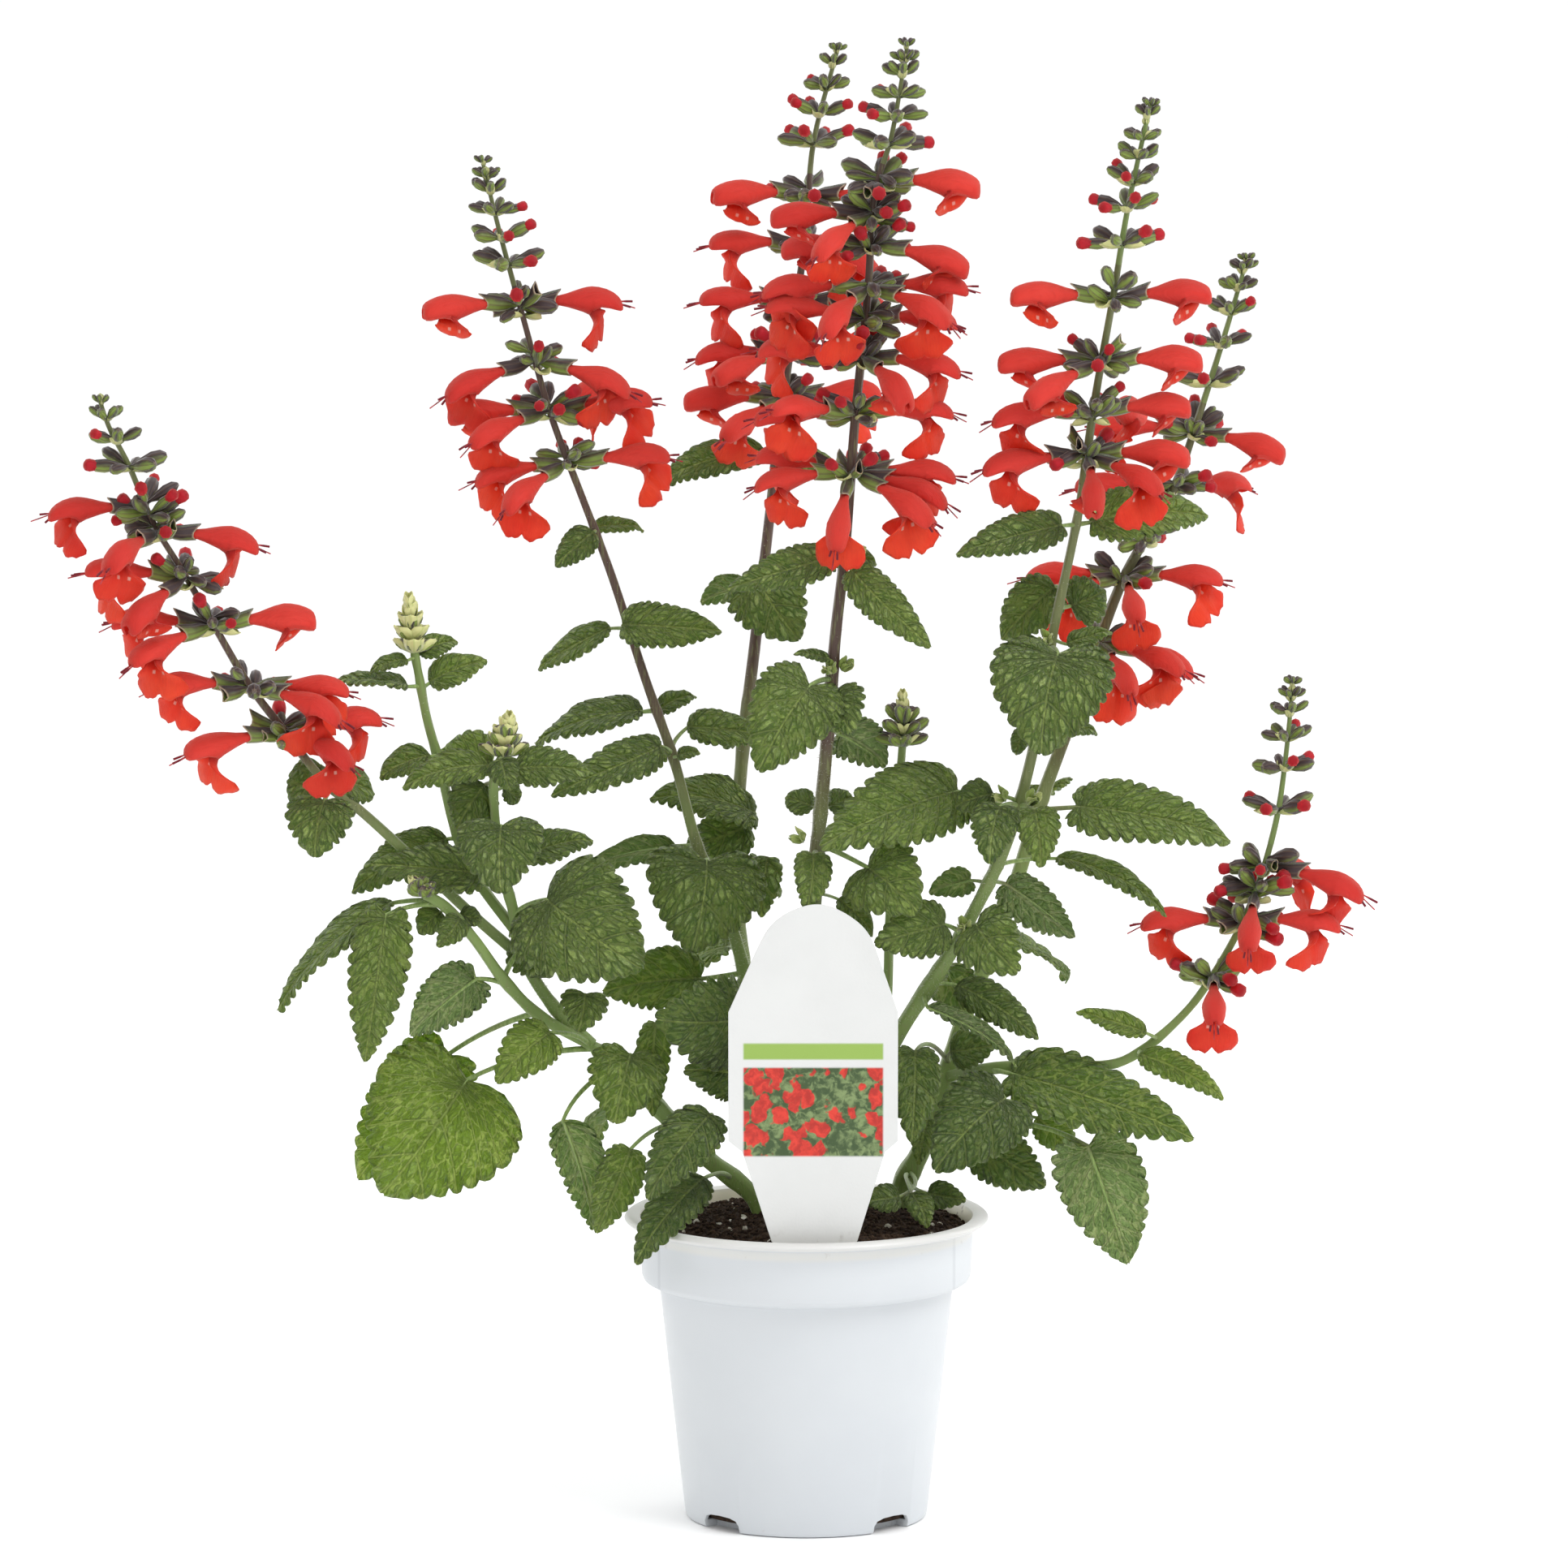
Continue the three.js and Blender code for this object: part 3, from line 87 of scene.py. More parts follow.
# Stems, root to tip, with the half thickness at each end
stemPlan = {
    "leftTrunk": {
        "route": [[-13, 88, 2], [-16, 100, 2], [-32, 114, -2], [-50, 133, -5], [-67, 149, -8]],
        "half": [2.4, 2.1],
    },
    "lowLeft": {
        "route": [[-67, 149, -8], [-83, 158, -11], [-94, 169, -14], [-104, 183, -17], [-113, 193, -18],
            [-120, 197, -18]],
        "half": [1.6, 1.2],
    },
    "highLeft": {
        "route": [[-67, 149, -8], [-78, 160, -6], [-88, 176, -3], [-91, 190, -2], [-95, 206, -2],
            [-97, 222, -2], [-97, 234, -2], [-94, 241, -2]],
        "half": [1.8, 1.0],
    },
    "backLeft": {
        "route": [[-90, 184, -2], [-103, 202, 6], [-109, 216, 10], [-114, 237, 12], [-118, 252, 11],
            [-120, 263, 11], [-122, 274, 11]],
        "half": [1.4, 1.0],
    },
    "farLeft": {
        "route": [[-88, 176, -3], [-104, 190, 0], [-128, 213, -5], [-139, 223, -8], [-149, 231, -10],
            [-164, 250, -12], [-173, 262, -13], [-184, 281, -15], [-193, 297, -16], [-202, 312, -17],
            [-210, 331, -18], [-216, 343, -18], [-219, 352, -18]],
        "half": [1.5, 0.5],
    },
    "left": {
        "route": [[-8, 88, 8], [-9, 100, 8], [-15, 150, 8], [-22, 182, 6], [-28, 198, 5], [-34, 212, 5],
            [-41, 238, 6], [-50, 264, 8], [-61, 298, 9], [-70, 322, 9], [-79, 346, 9], [-88, 378, 9],
            [-95, 404, 9], [-100, 425, 9]],
        "half": [2.1, 0.5],
    },
    "back": {
        "route": [[-4, 90, 17], [-5, 102, 18], [-16, 150, 30], [-22, 200, 40], [-20, 240, 45],
            [-16, 275, 48], [-12, 310, 50], [-8, 345, 51], [-4, 375, 52], [0, 405, 52], [2, 430, 52],
            [10, 461, 52]],
        "half": [2.1, 0.5],
    },
    "centre": {
        "route": [[0, 86, -8], [0, 99, -8], [1, 150, -12], [3, 205, -16], [6, 240, -18], [9, 278, -19],
            [12, 305, -20], [15, 345, -20], [19, 385, -20], [21, 415, -20], [26, 432, -20],
            [31, 461, -20]],
        "half": [2.3, 0.5],
    },
    "right": {
        "route": [[12, 88, 2], [13, 101, 2], [22, 138, -4], [29, 153, -8], [43, 175, -13], [50, 187, -14],
            [62, 212, -14], [70, 240, -13], [76, 276, -12], [84, 315, -12], [89, 350, -12],
            [95, 385, -12], [99, 410, -12], [106, 443, -12]],
        "half": [2.4, 0.5],
    },
    "rightShoot": {
        "route": [[22, 138, -4], [25, 160, 2], [26, 190, 5], [28, 215, 4], [29, 232, 2], [30, 246, 2]],
        "half": [1.2, 0.9],
    },
    "backRight": {
        "route": [[28, 93, 20], [30, 104, 20], [36, 116, 18], [42, 134, 18], [50, 160, 22], [62, 190, 28],
            [73, 226, 34], [81, 248, 37], [90, 274, 39], [99, 297, 40], [113, 322, 41], [121, 345, 42],
            [130, 374, 42], [136, 395, 42]],
        "half": [3.0, 0.5],
    },
    "farRight": {
        "route": [[44, 139, 18], [62, 142, 0], [84, 142, -6], [99, 144, -8], [117, 158, -8],
            [128, 173, -8], [139, 195, -8], [146, 219, -8], [149, 240, -8], [151, 263, -8]],
        "half": [1.6, 0.5],
    },
}

# Leaves: stem, rise of its node, blade base, blade tip, width, facing, how far its lobes reach back.
# Facing 0 lies flat, 90 turns its upper side to the front, a negative one shows its underside.
leafPlan = [
    ["farLeft", 231, [-151, 237, -8], [-160, 222, -10], 15, 40, 0.05],
    ["farLeft", 231, [-146, 233, -4], [-134, 228, 4], 16, 45, 0.05],
    ["farLeft", 230, [-150, 226, -18], [-153, 208, -26], 21, 80, 0.1],
    ["backLeft", 262, [-124, 262, 8], [-148, 263, 4], 13, 15, 0],
    ["backLeft", 261, [-117, 263, 14], [-99, 270, 18], 12, 50, 0],
    ["backLeft", 271, [-120, 272, 14], [-108, 276, 18], 9, 50, 0],
    ["backLeft", 240, [-117, 240, 6], [-133, 233, 2], 12, 45, 0],
    ["highLeft", 236, [-99, 237, -8], [-126, 230, -14], 13, 50, 0],
    ["highLeft", 236, [-91, 236, -4], [-67, 235, -8], 14, 60, 0],
    ["highLeft", 239, [-95, 239, -10], [-92, 229, -16], 10, 75, 0],
    ["highLeft", 236, [-98, 238, 6], [-114, 242, 14], 18, 70, 0],
    ["highLeft", 231, [-100, 231, 3], [-109, 217, 4], 16, 80, 0],
    ["highLeft", 228, [-94, 230, 4], [-89, 226, 8], 8, 60, 0],
    ["highLeft", 214, [-95, 218, -16], [-95, 196.5, -26], 27, 85, 0.2],
    ["highLeft", 212, [-88, 208, -4], [-66, 214, 0], 13, 45, 0],
    ["highLeft", 196, [-101, 203, -8], [-136, 206, -14], 18, 50, 0.05],
    ["backLeft", 214, [-112, 214, 12], [-142, 197, 8], 16, 50, 0],
    ["lowLeft", 193, [-131, 190, -20], [-138, 143, -28], 19, 75, 0.1],
    ["lowLeft", 194, [-129, 194, -12], [-166, 160, -14], 20, 15, 0],
    ["lowLeft", 192, [-114, 191, -14], [-121, 184, -16], 10, 70, 0],
    ["lowLeft", 188, [-108, 189, -22], [-115, 180, -30], 9, 80, 0],
    ["lowLeft", 188, [-108, 190, -16], [-101, 188, -16], 8, 50, 0],
    ["lowLeft", 168, [-103, 170, -16], [-124, 152, -20], 19, -75, 0.1],
    ["lowLeft", 170, [-86, 182, -8], [-80, 170, -6], 20, 90, 0.12],
    ["highLeft", 190, [-81, 195, -14], [-51, 173, -30], 42, 65, 0.15],
    ["highLeft", 160, [-69, 165, -20], [-71, 153, -26], 15, 85, 0.15],
    ["leftTrunk", 149, [-80, 153, -26], [-97, 137, -36], 17, 80, 0.05],
    ["leftTrunk", 148, [-106, 138, -20], [-133, 101, -34], 50, 88, 0.12],
    ["lowLeft", 159, [-112, 146, -6], [-141, 106, -12], 30, 70, 0.1],
    ["leftTrunk", 142, [-76, 125, -20], [-66, 90, -24], 17, -45, 0],
    ["leftTrunk", 141, [-55, 146, -18], [-60, 124, -28], 24, 85, 0.15],
    ["leftTrunk", 140, [-47, 156, -12], [-48, 126, -14], 11, 70, 0.05],
    ["leftTrunk", 124, [-55, 116, -26], [-66, 89, -34], 15, 80, 0.05],
    ["leftTrunk", 117, [-30, 127, -36], [-50, 100, -52], 19, 60, 0.05],
    ["leftTrunk", 107, [-32, 107, -26], [-54, 80, -46], 16, 50, 0],
    ["highLeft", 180, [-84, 186, 14], [-78, 176, 42], 22, 30, 0.1],
    ["leftTrunk", 130, [-52, 134, 16], [-66, 120, 44], 24, 30, 0.1],
    ["left", 310, [-66, 310, 6], [-78, 299, 2], 11, 60, 0],
    ["left", 310, [-66, 311, 14], [-50, 311, 18], 9, 30, 0],
    ["left", 280, [-57, 281, 2], [-26, 279, 0], 16, 58, 0.05],
    ["left", 280, [-61, 280, 14], [-84, 267, 20], 12, 40, 0],
    ["left", 254, [-51, 254, 8], [-85, 244, 14], 18, 30, 0],
    ["left", 254, [-46, 254, 14], [-34, 259, 18], 9, 35, 0],
    ["left", 241, [-45, 243, 0], [-80, 228, -14], 16, 48, 0.05],
    ["left", 242, [-37, 249, 14], [-12, 246, 22], 14, 50, 0],
    ["left", 206, [-31, 207, -6], [-36, 178, -20], 38, 85, 0.2],
    ["left", 212, [-41, 212, 10], [-70, 205, 12], 13, -50, 0],
    ["left", 172, [-33, 170, 4], [-64, 166, 0], 22, 60, 0.1],
    ["left", 150, [-21, 157, -20], [-47, 157, -34], 30, 88, 0.1],
    ["left", 138, [-20, 139, -16], [-38, 141, -28], 18, 85, 0.05],
    ["back", 334, [-13, 335, 52], [-48, 324, 46], 14, 50, 0],
    ["back", 331, [-7, 332, 56], [10, 330, 62], 12, 60, 0],
    ["back", 297, [-16, 297, 42], [-2, 276, 36], 26, 70, 0.12],
    ["back", 295, [-18, 293, 52], [-33, 288, 58], 12, -60, 0],
    ["back", 243, [-22, 244, 44], [-31, 249, 46], 12, -45, 0],
    ["back", 220, [-16, 222, 34], [-49, 227, 26], 22, 35, 0.05],
    ["back", 219, [-18, 218, 36], [-38, 211, 34], 18, 70, 0.05],
    ["back", 205, [-12, 208, 30], [-14, 189, 26], 11, 80, 0.05],
    ["back", 204, [-16, 205, 48], [-8, 196, 62], 14, 40, 0.1],
    ["back", 255, [-12, 258, 62], [2, 252, 90], 20, 30, 0.1],
    ["back", 178, [-24, 180, 52], [-44, 168, 80], 24, 40, 0.1],
    ["centre", 303, [8, 302, -24], [-25, 292, -34], 14, 58, 0.05],
    ["centre", 302, [14, 298, -26], [39, 274, -36], 14, 60, 0.05],
    ["centre", 303, [14, 302, -14], [22, 300, -12], 8, 40, 0],
    ["centre", 301, [6, 301, -10], [-10, 301, 2], 8, 30, 0],
    ["centre", 264, [1, 262, -30], [-15, 235, -44], 28, 85, 0.2],
    ["centre", 262, [8, 259, -26], [14, 247, -34], 19, 85, 0.12],
    ["centre", 248, [10, 247, -10], [25, 237, -4], 17, -70, 0],
    ["centre", 222, [2, 224, -6], [-7, 227, 0], 9, 70, 0],
    ["centre", 222, [7, 224, -6], [15, 227, 0], 9, 70, 0],
    ["centre", 212, [19, 205, -24], [35, 191, -36], 26, 75, 0.15],
    ["centre", 210, [2, 209, -28], [0, 191, -38], 12, 80, 0.1],
    ["centre", 196, [10, 195, -2], [21, 183, 2], 8, 60, 0],
    ["right", 312, [79, 312, -16], [46, 303, -24], 14, 60, 0.05],
    ["right", 313, [88, 313, -10], [125, 315, 2], 18, 62, 0.05],
    ["right", 274, [78, 272, -24], [73, 240, -38], 38, 88, 0.2],
    ["right", 276, [81, 275, -14], [95, 279, -14], 8, 40, 0],
    ["right", 290, [77, 293, 2], [60, 276, 4], 17, 70, 0.05],
    ["right", 286, [82, 287, 0], [93, 292, 4], 17, 70, 0.05],
    ["right", 225, [60, 224, -26], [57, 206, -38], 15, 85, 0.1],
    ["right", 226, [58, 228, -18], [46, 224, -18], 12, 60, 0],
    ["right", 224, [71, 223, -24], [73, 205, -36], 14, 85, 0.1],
    ["right", 222, [84, 224, -20], [133, 214, -28], 21, 55, 0.08],
    ["right", 222, [47, 229, -6], [4, 212, -32], 28, 60, 0.08],
    ["right", 206, [78, 208, -6], [113, 190, -14], 12, 25, 0],
    ["right", 200, [62, 200, -2], [84, 183, 2], 16, -70, 0.05],
    ["right", 200, [51, 201, -8], [38, 197, -6], 10, -80, 0.1],
    ["right", 184, [43, 187, -24], [21, 181, -30], 18, 75, 0.1],
    ["right", 184, [53, 187, -22], [66, 172, -36], 22, 85, 0.12],
    ["right", 165, [38, 161, -18], [67, 143, -22], 13, -30, 0],
    ["right", 168, [47, 168, -8], [73, 151, -14], 13, 60, 0],
    ["right", 172, [43, 174, -4], [50, 157, -2], 16, -60, 0],
    ["rightShoot", 231, [27, 231, -2], [17, 223, -6], 8, 70, 0],
    ["rightShoot", 231, [32, 231, 0], [42, 231, -2], 9, 60, 0],
    ["backRight", 143, [45, 147, 8], [59, 149, 4], 13, 70, 0],
    ["backRight", 143, [34, 147, -24], [33, 118, -38], 16, 85, 0.1],
    ["backRight", 132, [62, 132, -20], [40, 109, -34], 28, 80, 0.15],
    ["farRight", 141.5, [64, 140, -6], [122, 120, -24], 26, 50, 0.05],
    ["backRight", 122, [88, 117, -18], [101, 79, -30], 28, -85, 0.15],
    ["backRight", 120, [54, 118, 2], [75, 104, -6], 19, 80, 0.1],
    ["backRight", 124, [72, 126, 6], [84, 115, 8], 12, 70, 0],
    ["backRight", 122, [38, 126, 4], [35, 111, -4], 8, 75, 0],
    ["backRight", 109, [29, 101, -26], [18, 99, -30], 10, 60, 0],
    ["backRight", 107, [38, 102, -8], [50, 100, -14], 10, 60, 0],
    ["backRight", 178, [62, 182, 42], [82, 170, 68], 22, 30, 0.1],
    ["backRight", 226, [76, 230, 48], [70, 224, 72], 18, 30, 0.1],
    ["farRight", 151, [106, 153, -14], [84, 160, -16], 9, 45, 0],
    ["farRight", 147, [104, 146, -14], [131, 132, -20], 10, 60, 0],
    ["backLeft", 271, [-124, 270, 8], [-136, 266, 4], 7, 35, 0],
    ["left", 240, [-40, 240, 2], [-33, 241, 0], 6, 40, 0],
    ["centre", 269, [7, 270, -22], [-4, 272, -28], 5, 45, 0],
    ["right", 248, [68, 249, -2], [65, 240, 2], 6, 70, 0],
    ["right", 248, [77, 249, -4], [91, 247, 2], 7, 50, 0],
    ["backRight", 108, [33, 102, -22], [38, 91, -30], 9, 60, 0],
]

# Small buds in the leaf axils: stem, rise, the bud's middle, length
axilPlan = [
    ["centre", 301, [16, 303, -26], 5],
    ["centre", 265, [7, 267, -24], 5],
    ["centre", 266, [13, 268, -22], 4.5],
    ["right", 275, [74, 276, -20], 5],
    ["right", 312, [88, 316, -18], 4],
    ["right", 225, [60, 227, -20], 5],
    ["right", 223, [71, 226, -20], 5],
    ["right", 184, [49, 186, -22], 5],
    ["highLeft", 162, [-70, 173, -12], 7],
    ["centre", 212, [-3, 214, -22], 5],
]

# Leafy bud heads at shoot tips: stem, foot and top of the head, its half width, how far its buds are out
headPlan = [
    ["backLeft", [-122, 273, 11], [-124, 291, 11], 7.0, 0],
    ["highLeft", [-94, 240, -2], [-92, 252, -2], 7.5, 0.3],
    ["lowLeft", [-119, 196, -18], [-125, 200, -19], 5, 0.6],
    ["rightShoot", [30, 244, 2], [30, 262, 2], 7, 1],
]

# Flower spikes: the stem, where leaves end and buds begin, each whorl of open flowers as its rise and
# the flowers' (heading, lift) in degrees, and the rises of the bud tiers. Heading 0 points right,
# 180 left, -90 to the front. "folded" is the share of young flowers, "greenStem" how green it stays.
spikePlan = {
    "far_left": {
        "stem": "farLeft", "from": 240, "to": 321,
        "whorls": [
            [248, [[195, -8], [-40, -12], [20, 10]]],
            [262, [[190, 5], [5, 0], [-20, -12]]],
            [281, [[178, 6], [215, -15], [8, 8]]],
            [296, [[183, 8], [235, -20]]],
            [310, [[245, -10], [10, -5]]],
            [317, [[182, 2]]],
        ],
        "buds": [330, 338, 345, 350],
    },
    "left": {
        "stem": "left", "from": 325, "to": 386,
        "whorls": [
            [332, [[0, 8], [192, -5], [225, -20]]],
            [348, [[3, 10], [180, 2], [215, -12], [60, 12]]],
            [363, [[-12, -12], [200, -14]]],
            [380, [[12, 5], [195, 2]]],
        ],
        "buds": [393, 401, 409, 415, 420, 424],
    },
    "back": {
        "stem": "back", "from": 340, "to": 421,
        "whorls": [
            [352, [[182, 2], [230, -18], [15, 5]]],
            [366, [[178, 0], [215, -10]]],
            [381, [[185, 5], [-15, 0]]],
            [399, [[180, 4], [-40, -10]]],
            [415, [[200, 5], [-25, 0]]],
        ],
        "buds": [430, 439, 447, 454, 459],
    },
    "centre": {
        "stem": "centre", "from": 322, "to": 424,
        "whorls": [
            [329, [[184, -4], [158, 12], [-104, -42], [0, 2], [-34, -22], [-12, -12]]],
            [347, [[181, 2], [4, 6], [215, 10]]],
            [364, [[-6, -4], [-62, -18], [170, 8]]],
            [376, [[186, 12], [30, 0]]],
            [386, [[183, 2], [2, 4], [-38, -12], [-118, -18]]],
            [399, [[-2, -8], [150, 0]]],
            [409, [[180, 2], [-128, -18]]],
            [419, [[-2, 2]]],
        ],
        "buds": [430, 438, 445, 451, 456, 460],
    },
    "right": {
        "stem": "right", "folded": 0.55, "greenStem": 0.5, "from": 324, "to": 393,
        "whorls": [
            [334, [[190, -2], [-85, -25], [-40, -14], [-12, 6]]],
            [347, [[186, 0], [5, 8], [60, 0]]],
            [363, [[180, 4], [218, -16], [0, 6]]],
            [383, [[180, 6], [6, 8]]],
        ],
        "buds": [399, 410, 418, 426, 432, 438, 442],
    },
    "back_right": {
        "stem": "backRight", "greenStem": 0.3, "from": 268, "to": 350,
        "whorls": [
            [275, [[-12, -12], [-70, -20], [-30, -8]]],
            [296, [[-85, -18], [-5, 2], [182, 4], [215, -8]]],
            [308, []],
            [324, [[180, 3], [40, 0]]],
            [341, [[-10, -8], [180, 8]]],
        ],
        "buds": [356, 368, 378, 385, 391, 394],
    },
    "far_right": {
        "stem": "farRight", "greenStem": 0.4, "from": 162, "to": 212,
        "whorls": [
            [171, [[-92, -16]]],
            [188, [[4, 2], [184, 4]]],
            [197, [[-98, -24]]],
            [206, [[-6, -12], [60, -10]]],
        ],
        "buds": [223, 236, 245, 253, 258, 262],
    },
}


leanOf = {name: group["lean"] for group in leafyGroups.values() for name in group["members"]}
groupOf = {name: node for node, group in leafyGroups.items() for name in group["members"]}
spikeOf = {spike["stem"]: spike for spike in spikePlan.values()}


def place(point):
    across, rise, depth = point
    reach = (depth - eye[1]) / -eye[1]
    return np.array([eye[0] + (across - eye[0]) * reach, depth, eye[2] + (rise - eye[2]) * reach])


def leaning(name, point, nodeRise=None):
    across, rise, depth = point
    lifted = max(0, (rise if nodeRise is None else nodeRise) - leanFrom)
    return place((across, rise, depth + leanOf[name] * lifted))


def unit(vector):
    return vector / max(np.linalg.norm(vector), 1e-9)


stemSteps = 300


# A smooth curve through points, as even in its turns as a bent twig
def curveThrough(points, count):
    points = [np.array(p, float) for p in points]
    points = [2 * points[0] - points[1]] + points + [2 * points[-1] - points[-2]]
    spans = len(points) - 3
    samples = []
    for i in range(count):
        along = spans * i / (count - 1)
        k = min(int(along), spans - 1)
        p0, p1, p2, p3 = points[k:k + 4]
        d0, d1, d2 = (max(np.linalg.norm(b - a), 1e-4) ** 0.5 for a, b in ((p0, p1), (p1, p2), (p2, p3)))
        leave = ((p1 - p0) / d0 - (p2 - p0) / (d0 + d1) + (p2 - p1) / d1) * d1
        reach = ((p2 - p1) / d1 - (p3 - p1) / (d1 + d2) + (p3 - p2) / d2) * d1
        t = along - k
        samples.append(
            p1 + leave * t + (3 * (p2 - p1) - 2 * leave - reach) * t ** 2
            + (2 * (p1 - p2) + leave + reach) * t ** 3
        )
    return np.array(samples)


class Stem:
    def __init__(self, name):
        plan = stemPlan[name]
        self.half = plan["half"]
        self.points = curveThrough([leaning(name, p) for p in plan["route"]], stemSteps + 1)
        reach = (self.points[:, 1] - eye[1]) / -eye[1]
        self.rises = eye[2] + (self.points[:, 2] - eye[2]) / reach
        self.length = np.linalg.norm(np.diff(self.points, axis=0), axis=1).sum()

    def at(self, rise):
        return int(np.argmin(np.abs(self.rises - rise)))

    def halfAt(self, index):
        return self.half[0] + (self.half[1] - self.half[0]) * index / stemSteps

    def rootFor(self, rise, heading):  # a little way off the stem's middle
        index = self.at(rise)
        turn = math.radians(heading)
        off = 0.45 * self.halfAt(index)
        return self.points[index] + off * np.array([math.cos(turn), math.sin(turn), 0.0])


stems = {name: Stem(name) for name in stemPlan}


def headingTo(vector):
    return math.degrees(math.atan2(vector[1], vector[0]))


def outward(heading, lift):
    turn = math.radians(heading)
    rise = math.radians(lift)
    return np.array([math.cos(turn) * math.cos(rise), math.sin(turn) * math.cos(rise), math.sin(rise)])


# Euler angles that turn x outward along a heading and lift, with y to the side and z up
def turnTo(heading, lift, roll=0.0):
    turn = math.radians(heading)
    out = outward(heading, lift)
    side = np.array([-math.sin(turn), math.cos(turn), 0.0])
    up = np.cross(out, side)
    spin = math.radians(roll)
    across = side * math.cos(spin) + up * math.sin(spin)
    return tuple(Matrix((out, across, np.cross(out, across))).transposed().to_euler())


# Gathers points in mm, faces and named values, and makes one mesh object of them in metres
class Gather:
    def __init__(self):
        self.points = []
        self.faces = []
        self.edges = []
        self.values = {}
        self.count = 0

    def add(self, points, faces=(), edges=(), **values):
        self.points.append(np.asarray(points, float))
        self.faces.extend([tuple(int(i) + self.count for i in face) for face in faces])
        self.edges.extend([tuple(int(i) + self.count for i in edge) for edge in edges])
        for key, value in values.items():
            value = np.asarray(value, float)
            full = (len(points), 3) if value.shape[-1:] == (3,) else (len(points),)
            self.values.setdefault(key, []).append(np.broadcast_to(value, full))
        self.count += len(points)

    def addPath(self, points, **values):
        self.add(points, edges=[(i, i + 1) for i in range(len(points) - 1)], **values)

    def make(self, name, smooth=True):
        mesh = bpy.data.meshes.new(name)
        mesh.from_pydata(np.concatenate(self.points) * mm, self.edges, self.faces)
        for key, rows in self.values.items():
            setValues(mesh, key, np.concatenate(rows))
        if smooth:
            mesh.shade_smooth()
        mesh.update()
        return newObject(name, mesh)


# A mesh object of one shape
def shaped(name, build, *given, smooth=True):
    store = Gather()
    build(store, *given)
    return store.make(name, smooth)


def setValues(mesh, key, row):
    kind = "INT" if row.dtype.kind == "i" else "FLOAT_VECTOR" if row.ndim == 2 else "FLOAT"
    data = mesh.attributes.new(key, kind, "POINT").data
    row = row.astype(np.int32 if kind == "INT" else np.float32)
    data.foreach_set("vector" if kind == "FLOAT_VECTOR" else "value", row.ravel())


def newObject(name, mesh):
    made = bpy.data.objects.new(name, mesh)
    bpy.context.scene.collection.objects.link(made)
    return made


def remove(*objects):
    for item in objects:
        bpy.data.objects.remove(item, do_unlink=True)


def circle(count):
    return 2 * np.pi * np.arange(count) / count


# Three columns, rows or single values side by side, as points
def grid(*parts):
    return np.stack(np.broadcast_arrays(*parts), -1)


# A thin closed solid either side of a sheet of points; returns its points and faces, top side first
def thickSheet(sheet, thick, around=False):
    rows, columns = sheet.shape[:2]
    if around:
        across = np.roll(sheet, -1, 1) - np.roll(sheet, 1, 1)
    else:
        across = np.gradient(sheet, axis=1)
    normal = np.cross(np.gradient(sheet, axis=0), across)
    normal /= np.maximum(np.linalg.norm(normal, axis=2, keepdims=True), 1e-9)
    half = np.broadcast_to(np.asarray(thick, float) / 2, (rows, columns))[..., None]
    points = np.concatenate([sheet + normal * half, sheet - normal * half]).reshape(-1, 3)
    size = rows * columns
    ids = np.arange(size).reshape(rows, columns)
    right = np.roll(ids, -1, 1)
    if not around:
        ids, right = ids[:, :-1], right[:, :-1]
    top = np.stack([ids[:-1], ids[1:], right[1:], right[:-1]], -1).reshape(-1, 4)
    rims = [(ids[0], right[0], False), (ids[-1], right[-1], True)]
    if not around:
        down = np.arange(rows) * columns
        rims += [(down[:-1], down[1:], True), (down[:-1] + columns - 1, down[1:] + columns - 1, False)]
    faces = [top, top[:, ::-1] + size]
    for first, second, flip in rims:
        rim = np.stack([first, second, second + size, first + size], -1)
        faces.append(rim[:, ::-1] if flip else rim)
    return points, np.concatenate(faces)


# A closed skin round rings of equal size, with a pole at each end
def closedRings(rings):
    rings = np.asarray(rings)
    count, around = rings.shape[:2]
    points = np.concatenate([rings.reshape(-1, 3), rings[0].mean(0)[None], rings[-1].mean(0)[None]])
    faces = []
    for k in range(count - 1):
        for i in range(around):
            j = (i + 1) % around
            faces.append((k * around + i, k * around + j, (k + 1) * around + j, (k + 1) * around + i))
    for i in range(around):
        j = (i + 1) % around
        faces.append((count * around, j, i))
        faces.append((count * around + 1, (count - 1) * around + i, (count - 1) * around + j))
    return points, faces


# Node trees, for shaders and for geometry alike
def put(tree, kind, feeds=None, **settings):
    node = tree.nodes.new(kind)
    for key, value in settings.items():
        setattr(node, key, value)
    for key, source in (feeds or {}).items():
        feed(tree, node.inputs[key], source)
    return node


def feed(tree, socket, source):
    source = getattr(source, "socket", source)
    if isinstance(source, bpy.types.NodeSocket):
        tree.links.new(source, socket)
    elif socket.type == "RGBA":
        socket.default_value = (*source[:3], 1.0)
    else:
        socket.default_value = source


